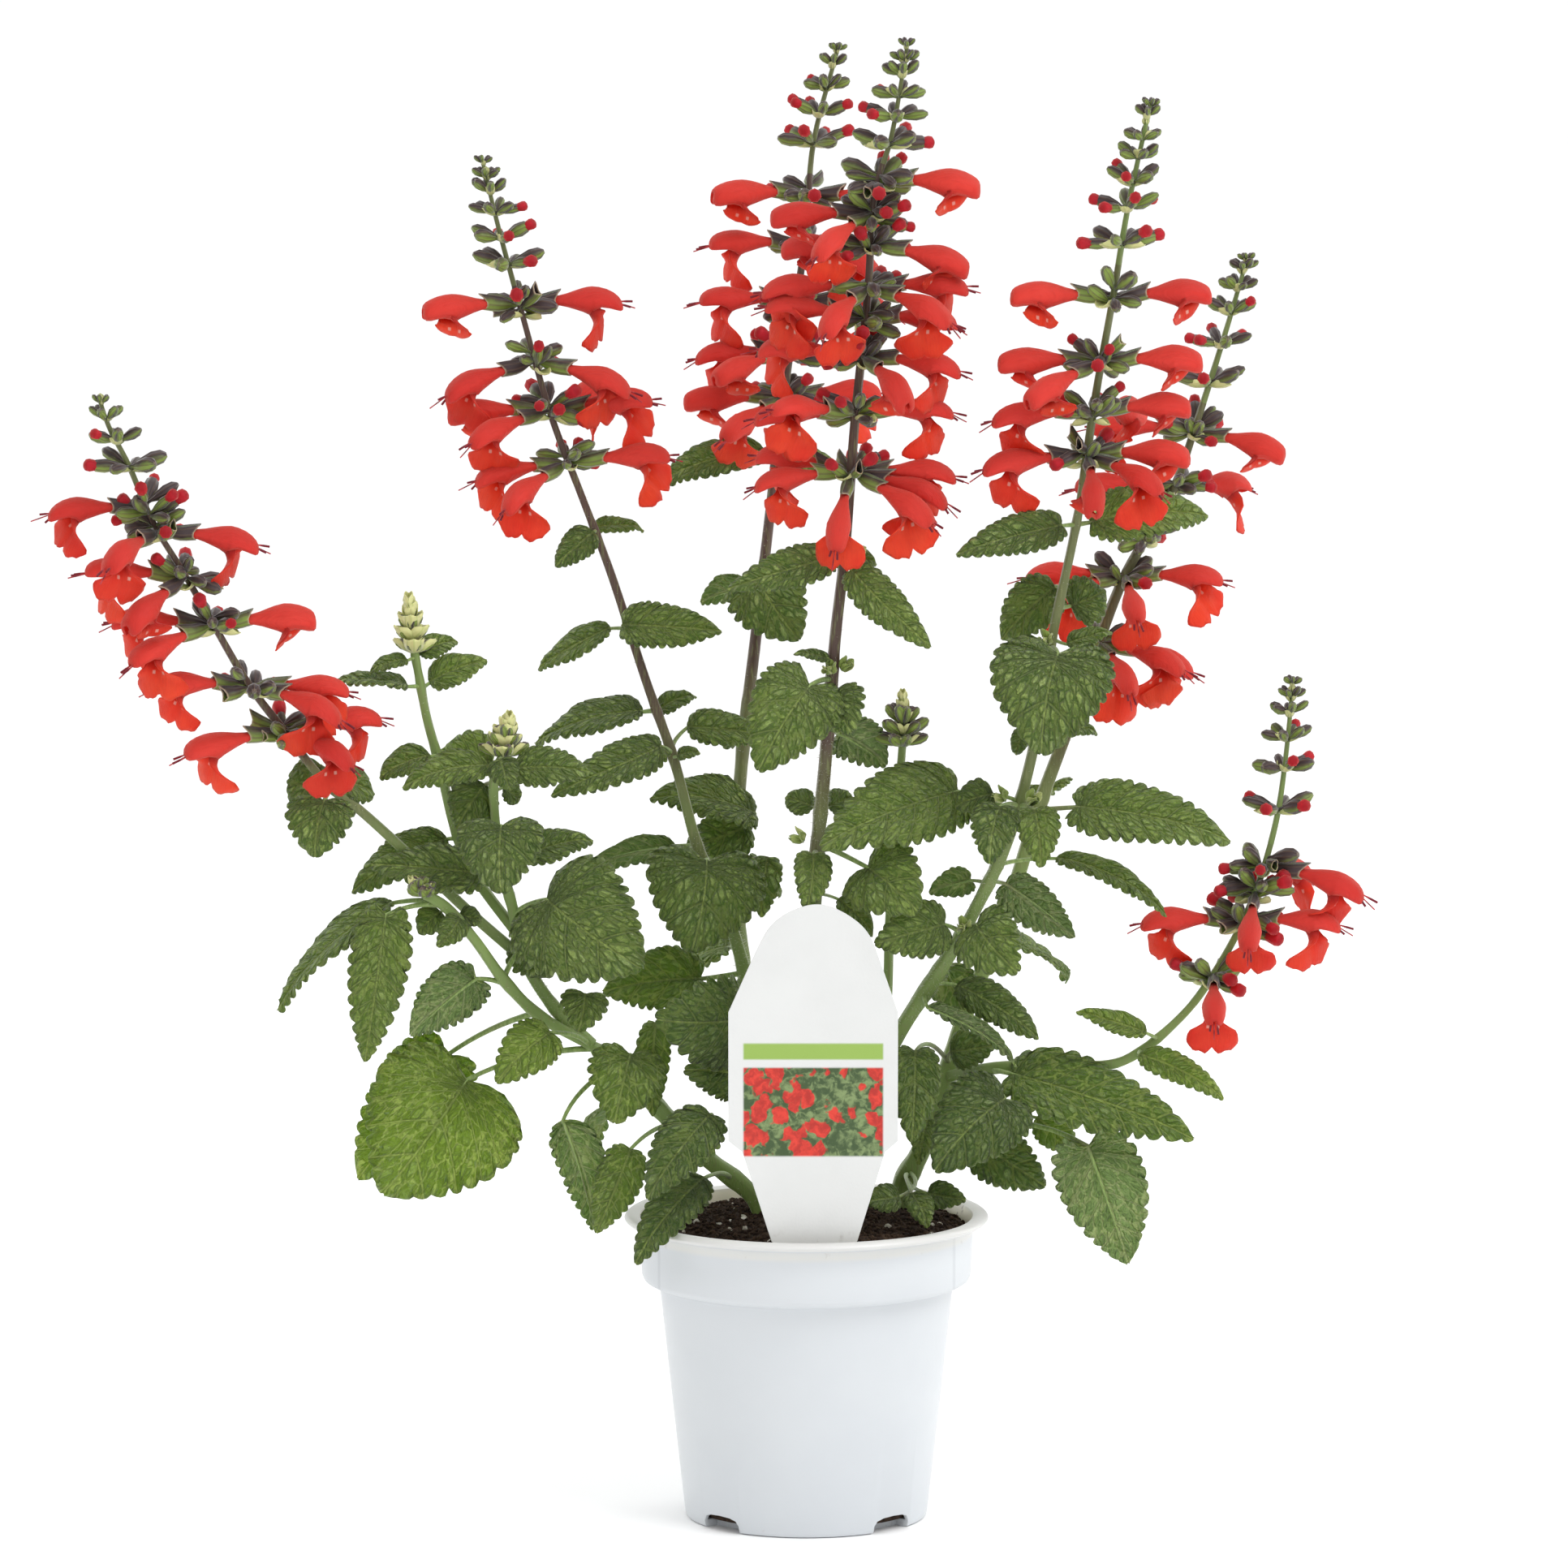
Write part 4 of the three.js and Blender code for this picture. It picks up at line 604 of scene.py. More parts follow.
# An output of a node; reckoning with it adds the nodes that do so
class Wire:
    def __init__(self, tree, socket):
        self.tree = tree
        self.socket = socket

    def __add__(self, other):
        return calc(self.tree, "ADD", self, other)

    def __sub__(self, other):
        return calc(self.tree, "SUBTRACT", self, other)

    def __mul__(self, other):
        return calc(self.tree, "MULTIPLY", self, other)

    def __abs__(self):
        return calc(self.tree, "ABSOLUTE", self)

    def cosine(self):
        return calc(self.tree, "COSINE", self)

    def most(self, other):
        return calc(self.tree, "MAXIMUM", self, other)

    def scaled(self, factor, plus):
        return calc(self.tree, "MULTIPLY_ADD", self, factor, plus)

    def between(self, low, high, start=0.0, end=1.0):
        feeds = {"Value": self, "From Min": low, "From Max": high, "To Min": start, "To Max": end}
        return wire(self.tree, "ShaderNodeMapRange", feeds, interpolation_type="SMOOTHSTEP")

    def blend(self, first, second):
        return wire(self.tree, "ShaderNodeMix", {0: self, 6: first, 7: second}, 2, data_type="RGBA")

    def parts(self):
        node = put(self.tree, "ShaderNodeSeparateXYZ", {0: self})
        return [Wire(self.tree, socket) for socket in node.outputs]

    def stretched(self, *scale):
        return wire(self.tree, "ShaderNodeMapping", {"Vector": self, "Scale": scale})

    def shifted(self, way, amount):
        feeds = {0: way, 1: (amount, amount, amount), 2: self}
        return wire(self.tree, "ShaderNodeVectorMath", feeds, operation="MULTIPLY_ADD")

    def grain(self, scale, detail=3.0, rough=0.55, output=0):
        feeds = {"Vector": self, "Scale": scale, "Detail": detail, "Roughness": rough}
        return wire(self.tree, "ShaderNodeTexNoise", feeds, output)

    def cells(self, scale, feature="F1"):  # distance to the middle or the edge of a cell
        feeds = {"Vector": self, "Scale": scale}
        return wire(self.tree, "ShaderNodeTexVoronoi", feeds, "Distance", feature=feature)


def wire(tree, kind, feeds=None, output=0, **settings):
    return Wire(tree, put(tree, kind, feeds, **settings).outputs[output])


def calc(tree, operation, first, second=0.0, third=0.0):
    return wire(tree, "ShaderNodeMath", {0: first, 1: second, 2: third}, operation=operation)


def attribute(tree, name, output="Vector"):
    return wire(tree, "ShaderNodeAttribute", output=output, attribute_name=name)


def objectPlace(tree):
    return wire(tree, "ShaderNodeTexCoord", output="Object")


def newLook(name):
    look = bpy.data.materials.new(name)
    look.use_nodes = True
    return look, look.node_tree


def dress(look, colour, bump=None, height=0.0, **values):
    tree = look.node_tree
    inputs = tree.nodes["Principled BSDF"].inputs
    feed(tree, inputs["Base Color"], colour)
    if bump is not None:
        feed(tree, inputs["Normal"], wire(tree, "ShaderNodeBump", {"Height": bump, "Distance": height}))
    for key, value in values.items():
        feed(tree, inputs[key.replace("_", " ")], value)
    return look


# Light that passes through a thin blade or petal
def letLightThrough(look, colour, share):
    tree = look.node_tree
    glow = wire(tree, "ShaderNodeBsdfTranslucent", {"Color": colour})
    shader = tree.nodes["Principled BSDF"].outputs[0]
    mixed = wire(tree, "ShaderNodeMixShader", {0: share, 1: shader, 2: glow})
    feed(tree, tree.nodes["Material Output"].inputs["Surface"], mixed)
    return look


def newTree(name, sizes):
    tree = bpy.data.node_groups.new(name, "GeometryNodeTree")
    tree.interface.new_socket("Geometry", in_out="INPUT", socket_type="NodeSocketGeometry")
    for label, kind in sizes.items():
        tree.interface.new_socket(label, in_out="INPUT", socket_type="NodeSocket" + kind)
    tree.interface.new_socket("Geometry", in_out="OUTPUT", socket_type="NodeSocketGeometry")
    return tree, put(tree, "NodeGroupInput").outputs


def endTree(tree, geometry, material):
    real = wire(tree, "GeometryNodeRealizeInstances", {0: geometry})
    done = wire(tree, "GeometryNodeSetMaterial", {"Geometry": real, "Material": material})
    put(tree, "NodeGroupOutput", {0: done})
    return tree


def named(tree, name, kind="FLOAT"):
    return wire(tree, "GeometryNodeInputNamedAttribute", {"Name": name}, "Attribute", data_type=kind)


def setOn(tree, points, shapes, **feeds):
    chosen = wire(tree, "GeometryNodeCollectionInfo", {
        "Collection": shapes, "Separate Children": True, "Reset Children": True,
    })
    feeds = {key.replace("_", " "): value for key, value in feeds.items()}
    return wire(tree, "GeometryNodeInstanceOnPoints", {
        "Points": points, "Instance": chosen, "Pick Instance": True, **feeds,
    })


# Leaves what an object's modifiers make of it as a plain mesh object of the same name
def finished(source):
    name = source.name
    graph = bpy.context.evaluated_depsgraph_get()
    result = source.evaluated_get(graph)
    mesh = bpy.data.meshes.new_from_object(result, preserve_all_data_layers=True, depsgraph=graph)
    source.modifiers.clear()
    remove(source)
    made = newObject(name, mesh)
    made.name = name
    mesh.name = name
    return made


# Runs a tree on an object and leaves its result as a plain mesh object of the same name
def grow(source, tree, **values):
    modifier = source.modifiers.new("grow", "NODES")
    modifier.node_group = tree
    for item in tree.interface.items_tree:
        if item.in_out == "INPUT" and item.name in values:
            modifier[item.identifier] = values[item.name]
    return finished(source)


# Rounds the sharp edges that are left once a cutter, if any, has been taken away
def bevelled(source, width, cutter=None):
    if cutter:
        cut = source.modifiers.new("cut", "BOOLEAN")
        cut.object = cutter
        cut.solver = "EXACT"
    soften = source.modifiers.new("soften", "BEVEL")
    soften.width = width * mm
    soften.segments = 2
    soften.limit_method = "ANGLE"
    soften.angle_limit = math.radians(50)
    return finished(source)


# Sweeps a closed outline along every path of a mesh of edges, thick as its "half" says
def sweepTree():
    tree, given = newTree("sweepAlongPaths", {"Outline": "Object", "Material": "Material"})
    paths = wire(tree, "GeometryNodeMeshToCurve", {0: given["Geometry"]})
    even = wire(tree, "GeometryNodeSetCurveNormal", {0: paths})
    outline = wire(tree, "GeometryNodeObjectInfo", {"Object": given["Outline"]}, "Geometry")
    swept = wire(tree, "GeometryNodeCurveToMesh", {
        "Curve": even, "Profile Curve": wire(tree, "GeometryNodeMeshToCurve", {0: outline}),
        "Scale": named(tree, "half"), "Fill Caps": True,
    })
    smooth = wire(tree, "GeometryNodeSetShadeSmooth", {0: swept})
    return endTree(tree, smooth, given["Material"])


# Sets one of several shapes on each point, turned and sized as the points say
def scatterTree():
    tree, given = newTree("setOnPoints", {"Shapes": "Collection", "Material": "Material"})
    turn = wire(tree, "FunctionNodeEulerToRotation", {0: named(tree, "turn", "FLOAT_VECTOR")})
    placed = setOn(
        tree, given["Geometry"], given["Shapes"], Instance_Index=named(tree, "kind", "INT"),
        Rotation=turn, Scale=named(tree, "size", "FLOAT_VECTOR"),
    )
    return endTree(tree, placed, given["Material"])


# Strews small shapes over a surface, denser where its "fuzz" is higher
def strewTree():
    tree, given = newTree("strewOnSurface", {
        "Shapes": "Collection", "Density": "Float", "Smallest": "Float", "Largest": "Float",
        "Tilt": "Float", "Seed": "Int", "Material": "Material",
    })
    spots = put(tree, "GeometryNodeDistributePointsOnFaces", {
        "Mesh": given["Geometry"], "Density": named(tree, "fuzz") * given["Density"], "Seed": given["Seed"],
    }).outputs
    tilt = Wire(tree, given["Tilt"])
    back = tilt * -1.0
    low = wire(tree, "ShaderNodeCombineXYZ", {0: back, 1: back, 2: -math.pi})
    high = wire(tree, "ShaderNodeCombineXYZ", {0: tilt, 1: tilt, 2: math.pi})
    feeds = {0: low, 1: high, "Seed": given["Seed"]}
    lean = wire(tree, "FunctionNodeRandomValue", feeds, data_type="FLOAT_VECTOR")
    turned = wire(tree, "FunctionNodeRotateRotation", {
        0: spots["Rotation"], 1: wire(tree, "FunctionNodeEulerToRotation", {0: lean}),
    }, rotation_space="LOCAL")
    feeds = {2: given["Smallest"], 3: given["Largest"]}
    size = wire(tree, "FunctionNodeRandomValue", feeds, "Value", data_type="FLOAT")
    placed = setOn(tree, spots["Points"], given["Shapes"], Rotation=turned, Scale=size)
    return endTree(tree, placed, given["Material"])


sweep = sweepTree()
scatter = scatterTree()
strew = strewTree()
print("geometry trees made")


def outlineRing(name, count, radiusAt):
    points = [(radiusAt(a) * math.cos(a), radiusAt(a) * math.sin(a), 0.0) for a in circle(count)]
    mesh = bpy.data.meshes.new(name)
    mesh.from_pydata(points, [(i, (i + 1) % count) for i in range(count)], [])
    return newObject(name, mesh)


def shapeSet(name, shapes):
    group = bpy.data.collections.new(name)
    for shape in shapes:
        group.objects.link(shape)
    return group


def clearShapes(group):
    shapes = list(group.objects)
    bpy.data.collections.remove(group)
    remove(*shapes)


# Attaches a finished piece to the root body and hides the parts it stands in for
def settle(piece, slot, *nodes):
    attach(piece, "root")
    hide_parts(*nodes)
    return piece


# Ring for the square stems: flat sides with a shallow groove and round corners
stemRing = outlineRing("stemRing", 16, lambda a: (1.22 + 0.13 * math.cos(4 * a - math.pi)) * mm)
roundRing = outlineRing("roundRing", 7, lambda a: 1.0 * mm)

# Leaves
leafLook = {
    "leastTeeth": 5, "edgePerTooth": 4.7, "mostTeeth": 15, "rowsPerTooth": 4, "notch": 0.40,
    "veinSlant": 0.88, "fold": 0.42, "curlDown": 0.20, "arch": 0.12, "quilt": 0.12, "bend": 0.05,
    "thick": 0.40, "wave": 0.06, "ridge": 0.16, "stalkHalf": 0.8, "longStalk": 24, "veinGap": 6.5,
    "shift": 40.0, "netShift": 1.7, "seed": 300, "toothSeed": 900, "columnWidth": 2.4,
    "toothSizes": (0.7, 1.35), "toothDepths": (0.55, 1.3), "tipDrop": (0.01, 0.06), "toothDrop": 0.12,
    # lit and shaded are painted lit and shaded copies of the green
    "deep": (0.165, 0.245, 0.052), "upper": (0.345, 0.445, 0.105), "lit": (0.33, 0.47, 0.040),
    # The groove colour is painted shade in the leaf's creases
    # The pale pillow-top colour here is a painted sheen highlight
    "groove": (0.026, 0.060, 0.012), "paintedSheenCrown": (0.56, 0.66, 0.34), "vein": (0.52, 0.66, 0.18),
    "young": (0.20, 0.28, 0.06), "shaded": (0.060, 0.105, 0.025),
    "under": (0.27, 0.38, 0.14), "veinUnder": (0.42, 0.5, 0.24),
    # The rim colour is painted rim light along the blade edges
    "rim": (0.28, 0.36, 0.14), "glow": (0.40, 0.62, 0.04), "glowVein": (0.72, 0.82, 0.25),
    "through": 0.26, "throughLit": 0.2,
    "stalkDark": (0.16, 0.25, 0.055), "stalkPale": (0.28, 0.38, 0.11), "stalkBrown": (0.12, 0.09, 0.05),
}


def bladeShape(share):
    top = 0.3387 ** 0.42 * 0.6613 ** 0.82
    return share ** 0.42 * (1 - share) ** 0.82 / top


def leafFrame(row):
    stemName, nodeRise, baseAt, tipAt, width, facing, lobe = row
    base = leaning(stemName, baseAt, nodeRise)
    tip = leaning(stemName, tipAt, nodeRise)
    length = np.linalg.norm(tip - base)
    axis = (tip - base) / length
    turn = math.radians(facing)
    look = np.array([0.0, -math.sin(turn), math.cos(turn)])
    normal = unit(look - axis * look.dot(axis))
    middle = (base + tip) / 2 + normal * length * leafLook["arch"]
    return base, middle, tip, normal, length


# Points of a blade, given shares of its length, distances to the side and heights above its spine
def onBlade(leaf, share, side, raised):
    base, middle, tip, normal, length = leaf
    s = np.maximum(share, 0.0)[..., None]
    spine = base * (1 - s) ** 2 + middle * 2 * s * (1 - s) + tip * s ** 2
    tangent = (middle - base) * (1 - s) + (tip - middle) * s
    tangent /= np.linalg.norm(tangent, axis=-1, keepdims=True)
    up = normal - tangent * (tangent @ normal)[..., None]
    up /= np.linalg.norm(up, axis=-1, keepdims=True)
    out = np.cross(up, tangent)
    spine = spine + tangent * (np.minimum(share, 0.0) * length)[..., None]
    return spine + out * side[..., None] + up * raised[..., None]


def smoothStep(value, low, high):
    t = np.clip((value - low) / (high - low), 0, 1)
    return t * t * (3 - 2 * t)


# How far along the blade its edge has come: lobes run back past the stalk
def edgeRun(e, lobe):
    return e + lobe * (e - 1) * smoothStep(bladeShape(e), 0.05, 0.5)


# How brightly a blade is lit, and how young it is or, below zero, how much it stands in shade
def bladeTone(base, width, chance):
    young = max(0.0, min(1.0, (14 - width) / 8)) * 0.7
    outer = abs(base[0]) - (25 if base[0] > 0 else 0)  # low leaves on the right stand in more shade
    lit = smoothStep(outer, 25, 95) * smoothStep(-base[2], -185, -135)
    shaded = (1 - smoothStep(outer, 35, 75)) * (1 - smoothStep(base[2], 150, 190))
    return np.clip(0.85 * lit + chance.uniform(-0.15, 0.3), 0, 1), young - shaded


# The toothed edge from stalk to tip: each row's share of the way, where it leaves the spine and meets
# the edge, how wide it is there, and how far its tooth stands out
def bladeEdge(row, length, number):
    look = leafLook
    half, lobe = row[4] / 2, row[6]
    uneven = np.random.default_rng(look["toothSeed"] + number)
    fine = np.linspace(0, 1, 500) ** 2
    steps = np.hypot(np.diff(edgeRun(fine, lobe)) * length, np.diff(bladeShape(fine)) * half)
    around = np.concatenate([[0], np.cumsum(steps)])
    coarse = 1 - 0.25 * float(smoothStep(row[4] / length, 0.85, 1.0))
    teeth = min(look["mostTeeth"], round((look["leastTeeth"] + around[-1] / look["edgePerTooth"]) * coarse))
    rows = teeth * look["rowsPerTooth"]
    phase = np.concatenate([[0.1 / rows, 0.5 / rows], (np.arange(rows) + 1) / rows])
    toothEnds = np.concatenate([[0], np.cumsum(uneven.uniform(*look["toothSizes"], teeth))])
    cameRound = np.interp(phase * teeth, np.arange(teeth + 1), toothEnds / toothEnds[-1])
    e = np.interp(cameRound * around[-1], around, fine)
    e[-1] = 0.994
    tooth = np.abs(np.sin(np.pi * (teeth * phase % 1) ** 0.85)) ** 0.65
    depths = uneven.uniform(*look["toothDepths"], teeth + 1)
    depth = np.interp(phase * teeth, np.arange(teeth + 1), depths)
    shape = bladeShape(e)
    edgeAt = edgeRun(e, lobe)
    run = np.gradient(np.stack([edgeAt * length, half * shape]), axis=1)
    run /= np.linalg.norm(run, axis=0)
    cut = look["notch"] * around[-1] / teeth * min(1.0, half / 9) * (tooth - 0.75)
    cut = cut * np.minimum(shape * 1.6, 1) * depth
    spineAt = np.maximum(edgeAt - look["veinSlant"] * half * shape / length, 0.16 * e)
    edgeWide = np.maximum(half * shape + cut * run[0], 0.12)
    return e, np.maximum.accumulate(spineAt), edgeAt - cut * run[1] / length, edgeWide, tooth


def addBlade(blades, row, number):
    look = leafLook
    leaf = leafFrame(row)
    length = leaf[4]
    half = row[4] / 2
    chance = np.random.default_rng(look["seed"] + number)
    e, spineAt, edgeAt, edgeWide, tooth = bladeEdge(row, length, number)
    perSide = int(np.clip(round(half / look["columnWidth"]), 3, 7))
    v = np.linspace(-1, 1, 2 * perSide + 1)
    v = np.sign(v) * np.abs(v) ** 0.9
    away = np.abs(v)
    share = spineAt[:, None] + (edgeAt - spineAt)[:, None] * away ** 1.15
    side = edgeWide[:, None] * v
    veins = np.clip(round(length / look["veinGap"]), 3, 7) * e
    swell = np.abs(np.sin(np.pi * veins))[:, None] ** 0.7  # pads between the side veins
    fade = smoothStep(away, 0.0, 0.3) * (1 - 0.55 * smoothStep(away, 0.7, 1.0))
    ends = smoothStep(e, 0.0, 0.12) * (1 - smoothStep(e, 0.85, 1.0))
    valley = np.sqrt(away ** 2 + 0.02) - 0.14
    raised = edgeWide[:, None] * (look["fold"] * valley - look["curlDown"] * away ** 2)
    raised = raised + look["quilt"] * look["veinGap"] * swell * fade * ends[:, None]
    for sign in (-1, 1):  # each half waves on its own
        turns, start = chance.uniform(1.2, 2.4), chance.uniform(0, 6.28)
        wave = look["wave"] * half * np.sin(2 * np.pi * turns * e + start)[:, None] * away ** 2
        raised = raised + np.where(v * sign > 0, wave, 0)
    drop = chance.uniform(*look["tipDrop"]) * length
    raised = raised - drop * smoothStep(share, 0.6, 1.05) ** 2
    raised = raised - look["toothDrop"] * half * smoothStep(away, 0.6, 1.0) * tooth[:, None]
    inside = np.clip(share, 0, 1)
    bend = chance.uniform(-1, 1) * look["bend"] * length * 4 * inside * (1 - inside)
    ridge = look["ridge"] * (1 - np.abs(np.sin(np.pi * veins))[:, None]) * (1 - away)
    thick = look["thick"] * (1 - 0.35 * away) + ridge * min(1.0, half / 8)
    points, faces = thickSheet(onBlade(leaf, share, side + bend, raised), thick)
    placeOn = grid(share * length + look["shift"] * number, side, look["netShift"] * number)
    blades.add(
        points, faces, leafPlace=np.tile(placeOn.reshape(-1, 3), (2, 1)),
        leafField=np.tile(grid(veins[:, None], away, 0.0).reshape(-1, 3), (2, 1)),
        leafTone=grid(*bladeTone(leaf[0], row[4], chance), np.repeat([0.0, 1.0], side.size)),
    )
    return leaf


# The stalk runs from inside the stem into the blade's midrib, which thins out beneath it
def addStalk(stalks, row, leaf):
    base, middle, tip, normal, length = leaf
    stem = stems[row[0]]
    leaving = base - stem.points[stem.at(row[1])]
    root = stem.rootFor(row[1], headingTo(leaving))
    run = np.linalg.norm(base - root)
    startWay = unit(middle - base)
    elbow = base - startWay * 0.3 * run
    elbow = elbow + (root - elbow) * 0.35
    t = np.linspace(0, 1, 9)[:, None]
    knee = elbow if run > leafLook["longStalk"] else (base - startWay * 0.35 * run + root) / 2
    out = root * (1 - t) ** 2 + knee * 2 * t * (1 - t) + (base - normal * 0.3) * t ** 2
    share = np.linspace(0.06, 0.86, 8)
    under = onBlade(leaf, share, np.zeros(8), np.full(8, -0.28))
    size = min(1.0, 0.45 + row[4] / 40)
    thins = np.concatenate([np.linspace(1.25, 0.9, 9), np.linspace(0.72, 0.16, 8)])
    stalks.addPath(np.concatenate([out, under]), half=leafLook["stalkHalf"] * size * thins)


def leafMaterial():
    look, tree = newLook("quiltedLeaf")
    colours = leafLook
    on = attribute(tree, "leafPlace")
    alongVeins, away, _ = attribute(tree, "leafField").parts()
    lit, young, underside = attribute(tree, "leafTone").parts()
    _, side, number = on.parts()
    wander = on.grain(0.5, 2.0, 0.5, "Color")

    def net(perVein, perMm):  # distance to the nearest line of a net that follows the side veins
        feeds = {0: alongVeins * perVein, 1: side * perMm, 2: number}
        flat = wire(tree, "ShaderNodeCombineXYZ", feeds)
        return flat.shifted(wander, 0.5).cells(1.0, "DISTANCE_TO_EDGE")

    wide, middle, fine = net(1.7, 0.22), net(3.4, 0.44), net(9.0, 1.1)
    sideVein = calc(tree, "PINGPONG", alongVeins, 0.5)
    lateral = sideVein.between(0.015, 0.045, 1.0, 0.0)
    midrib = abs(side).between(0.2, 0.55, 1.0, 0.0)
    main = lateral.most(midrib)
    veins = main.most(wide.between(0.025, 0.085, 0.9, 0.0).most(middle.between(0.01, 0.06, 0.25, 0.0)))
    mottle = on.grain(0.22, 4.0)
    speckle = on.grain(3.0)
    pillow = middle.between(0.03, 0.25)
    body = mottle.between(0.3, 0.7).blend(colours["deep"], colours["upper"])
    # Painted light and shade: outer low blades take a lighter lit copy of the green, low middle ones a
    # darker shaded copy
    body = lit.blend(body, colours["lit"])
    body = young.blend(body, colours["young"])
    body = (young * -0.6).blend(body, colours["shaded"])
    # Painted sheen: a pale highlight colour on the pillow tops, gathered in patches
    paintedSheenPatch = on.grain(0.075, 2.0).between(0.42, 0.62, 0.35, 1.0)
    paintedSheenCrown = pillow * speckle.between(0.3, 0.7, 0.05, 0.5) * paintedSheenPatch
    body = paintedSheenCrown.blend(body, colours["paintedSheenCrown"])
    # Painted shade: the creases between the pillows and along the side veins are darkened, less so on lit
    # blades
    grooveShade = middle.between(0.025, 0.12, 0.95, 0.0).most(wide.between(0.03, 0.12, 1.0, 0.0))
    grooveShade = grooveShade.most(sideVein.between(0.03, 0.11, 1.0, 0.0))
    body = (grooveShade * lit.scaled(-0.6, 0.92)).blend(body, colours["groove"])
    # Painted backlight: the veins show paler on the lit blades
    ribs = (midrib * 0.5).most(lateral * 0.38) * lit.scaled(0.8, 0.8)
    body = ribs.most(veins * lit.scaled(0.7, 0.2)).blend(body, colours["vein"])
    # Painted rim light: a pale band along the blade's edge
    body = away.between(0.92, 1.0, 0.0, 0.5).blend(body, colours["rim"])
    under = veins.blend(colours["under"], colours["veinUnder"])
    colour = underside.between(0.45, 0.55).blend(body, under)
    height = pillow * 0.9 + speckle * 0.35 + wide.between(0.0, 0.35) * 0.7 + fine.between(0.0, 0.4) * 0.25
    dress(look, colour, height - main * 0.8, 0.0015, Roughness=mottle.between(0.3, 0.7, 0.38, 0.54),
          Specular_IOR_Level=0.28, Sheen_Weight=0.12, Sheen_Roughness=0.5)
    glow = veins.blend(colours["glow"], colours["glowVein"])
    return letLightThrough(look, glow, lit.scaled(colours["throughLit"], colours["through"]))


def stalkMaterial():
    look, tree = newLook("leafStalk")
    on = objectPlace(tree)
    fleck = on.stretched(1.0, 1.0, 0.25).grain(1400.0)
    colour = fleck.between(0.35, 0.7).blend(leafLook["stalkDark"], leafLook["stalkPale"])
    colour = on.grain(60.0, 2.0).between(0.5, 0.75, 0.0, 0.6).blend(colour, leafLook["stalkBrown"])
    return dress(look, colour, fleck, 0.0001, Roughness=0.5, Sheen_Weight=0.25)


leafGreen = leafMaterial()
stalkGreen = stalkMaterial()
leafNumber = 0
for nodeName, group in leafyGroups.items():
    blades = Gather()
    stalks = Gather()
    for row in leafPlan:
        if row[0] in group["members"]:
            leafNumber += 1
            addStalk(stalks, row, addBlade(blades, row, leafNumber))
    blade = blades.make(nodeName.replace("stem", "leaves"))
    blade.data.materials.append(leafGreen)
    settle(blade, "leaf", nodeName)
    stalk = stalks.make(nodeName.replace("stem", "stalks"))
    settle(grow(stalk, sweep, Outline=roundRing, Material=stalkGreen), "leaf", nodeName)
print("leaves made:", leafNumber)


# Stems
stemLook = {
    "step": 3.0, "purpleFrom": 0.17, "purpleTo": 0.27,
    "green": (0.19, 0.28, 0.07), "purple": (0.075, 0.03, 0.028), "ridge": (0.2, 0.22, 0.08),
    "hairLength": (0.9, 1.7), "hairDensity": 9.0e5, "hairLean": 0.45, "hairSeed": 3,
    "knotSwell": 0.16, "knotHalf": 2.2, "sparse": 0.10,
    "hairDull": (0.62, 0.64, 0.5), "hairPale": (0.85, 0.86, 0.78),
    "woolly": {"right": (158, 218), "centre": (212, 254), "highLeft": (152, 186), "left": (150, 215)},
}


def stretch(stem, start, end):
    count = max(4, int((end - start) / stemSteps * stem.length / stemLook["step"]))
    index = np.unique(np.linspace(start, end, count).astype(int))
    return index, stem.points[index]


def stemMaterial():
    look, tree = newLook("squareStem")
    on = objectPlace(tree)
    lines = on.stretched(1.0, 1.0, 0.06).grain(1500.0)
    rise = on.parts()[2] + (on.grain(25.0) - 0.5) * 0.12
    purple = rise.between(stemLook["purpleFrom"], stemLook["purpleTo"], 0.1, 0.95)
    purple = purple * attribute(tree, "young", "Fac").scaled(-0.9, 1.0)
    colour = purple.blend(stemLook["green"], stemLook["purple"])
    colour = lines.between(0.5, 0.72, 0.0, 0.7).blend(colour, stemLook["ridge"])
    return dress(look, colour, lines, 0.00018, Roughness=0.48, Sheen_Weight=0.2, Sheen_Roughness=0.4)


def hairMaterial():
    look, tree = newLook("stemHair")
    colour = objectPlace(tree).grain(300.0, 2.0).blend(stemLook["hairDull"], stemLook["hairPale"])
    return dress(look, colour, Roughness=0.6)


stemSkin = stemMaterial()
hairWhite = hairMaterial()

hairPoints = np.array([(0.035, 0, -0.1), (-0.018, 0.03, -0.1), (-0.018, -0.03, -0.1), (0.12, 0.0, 1.0)])
hairFaces = [(0, 2, 1), (0, 1, 3), (1, 2, 3), (2, 0, 3)]
hairSet = shapeSet("hairShapes", [shaped("hairShape", Gather.add, hairPoints, hairFaces)])

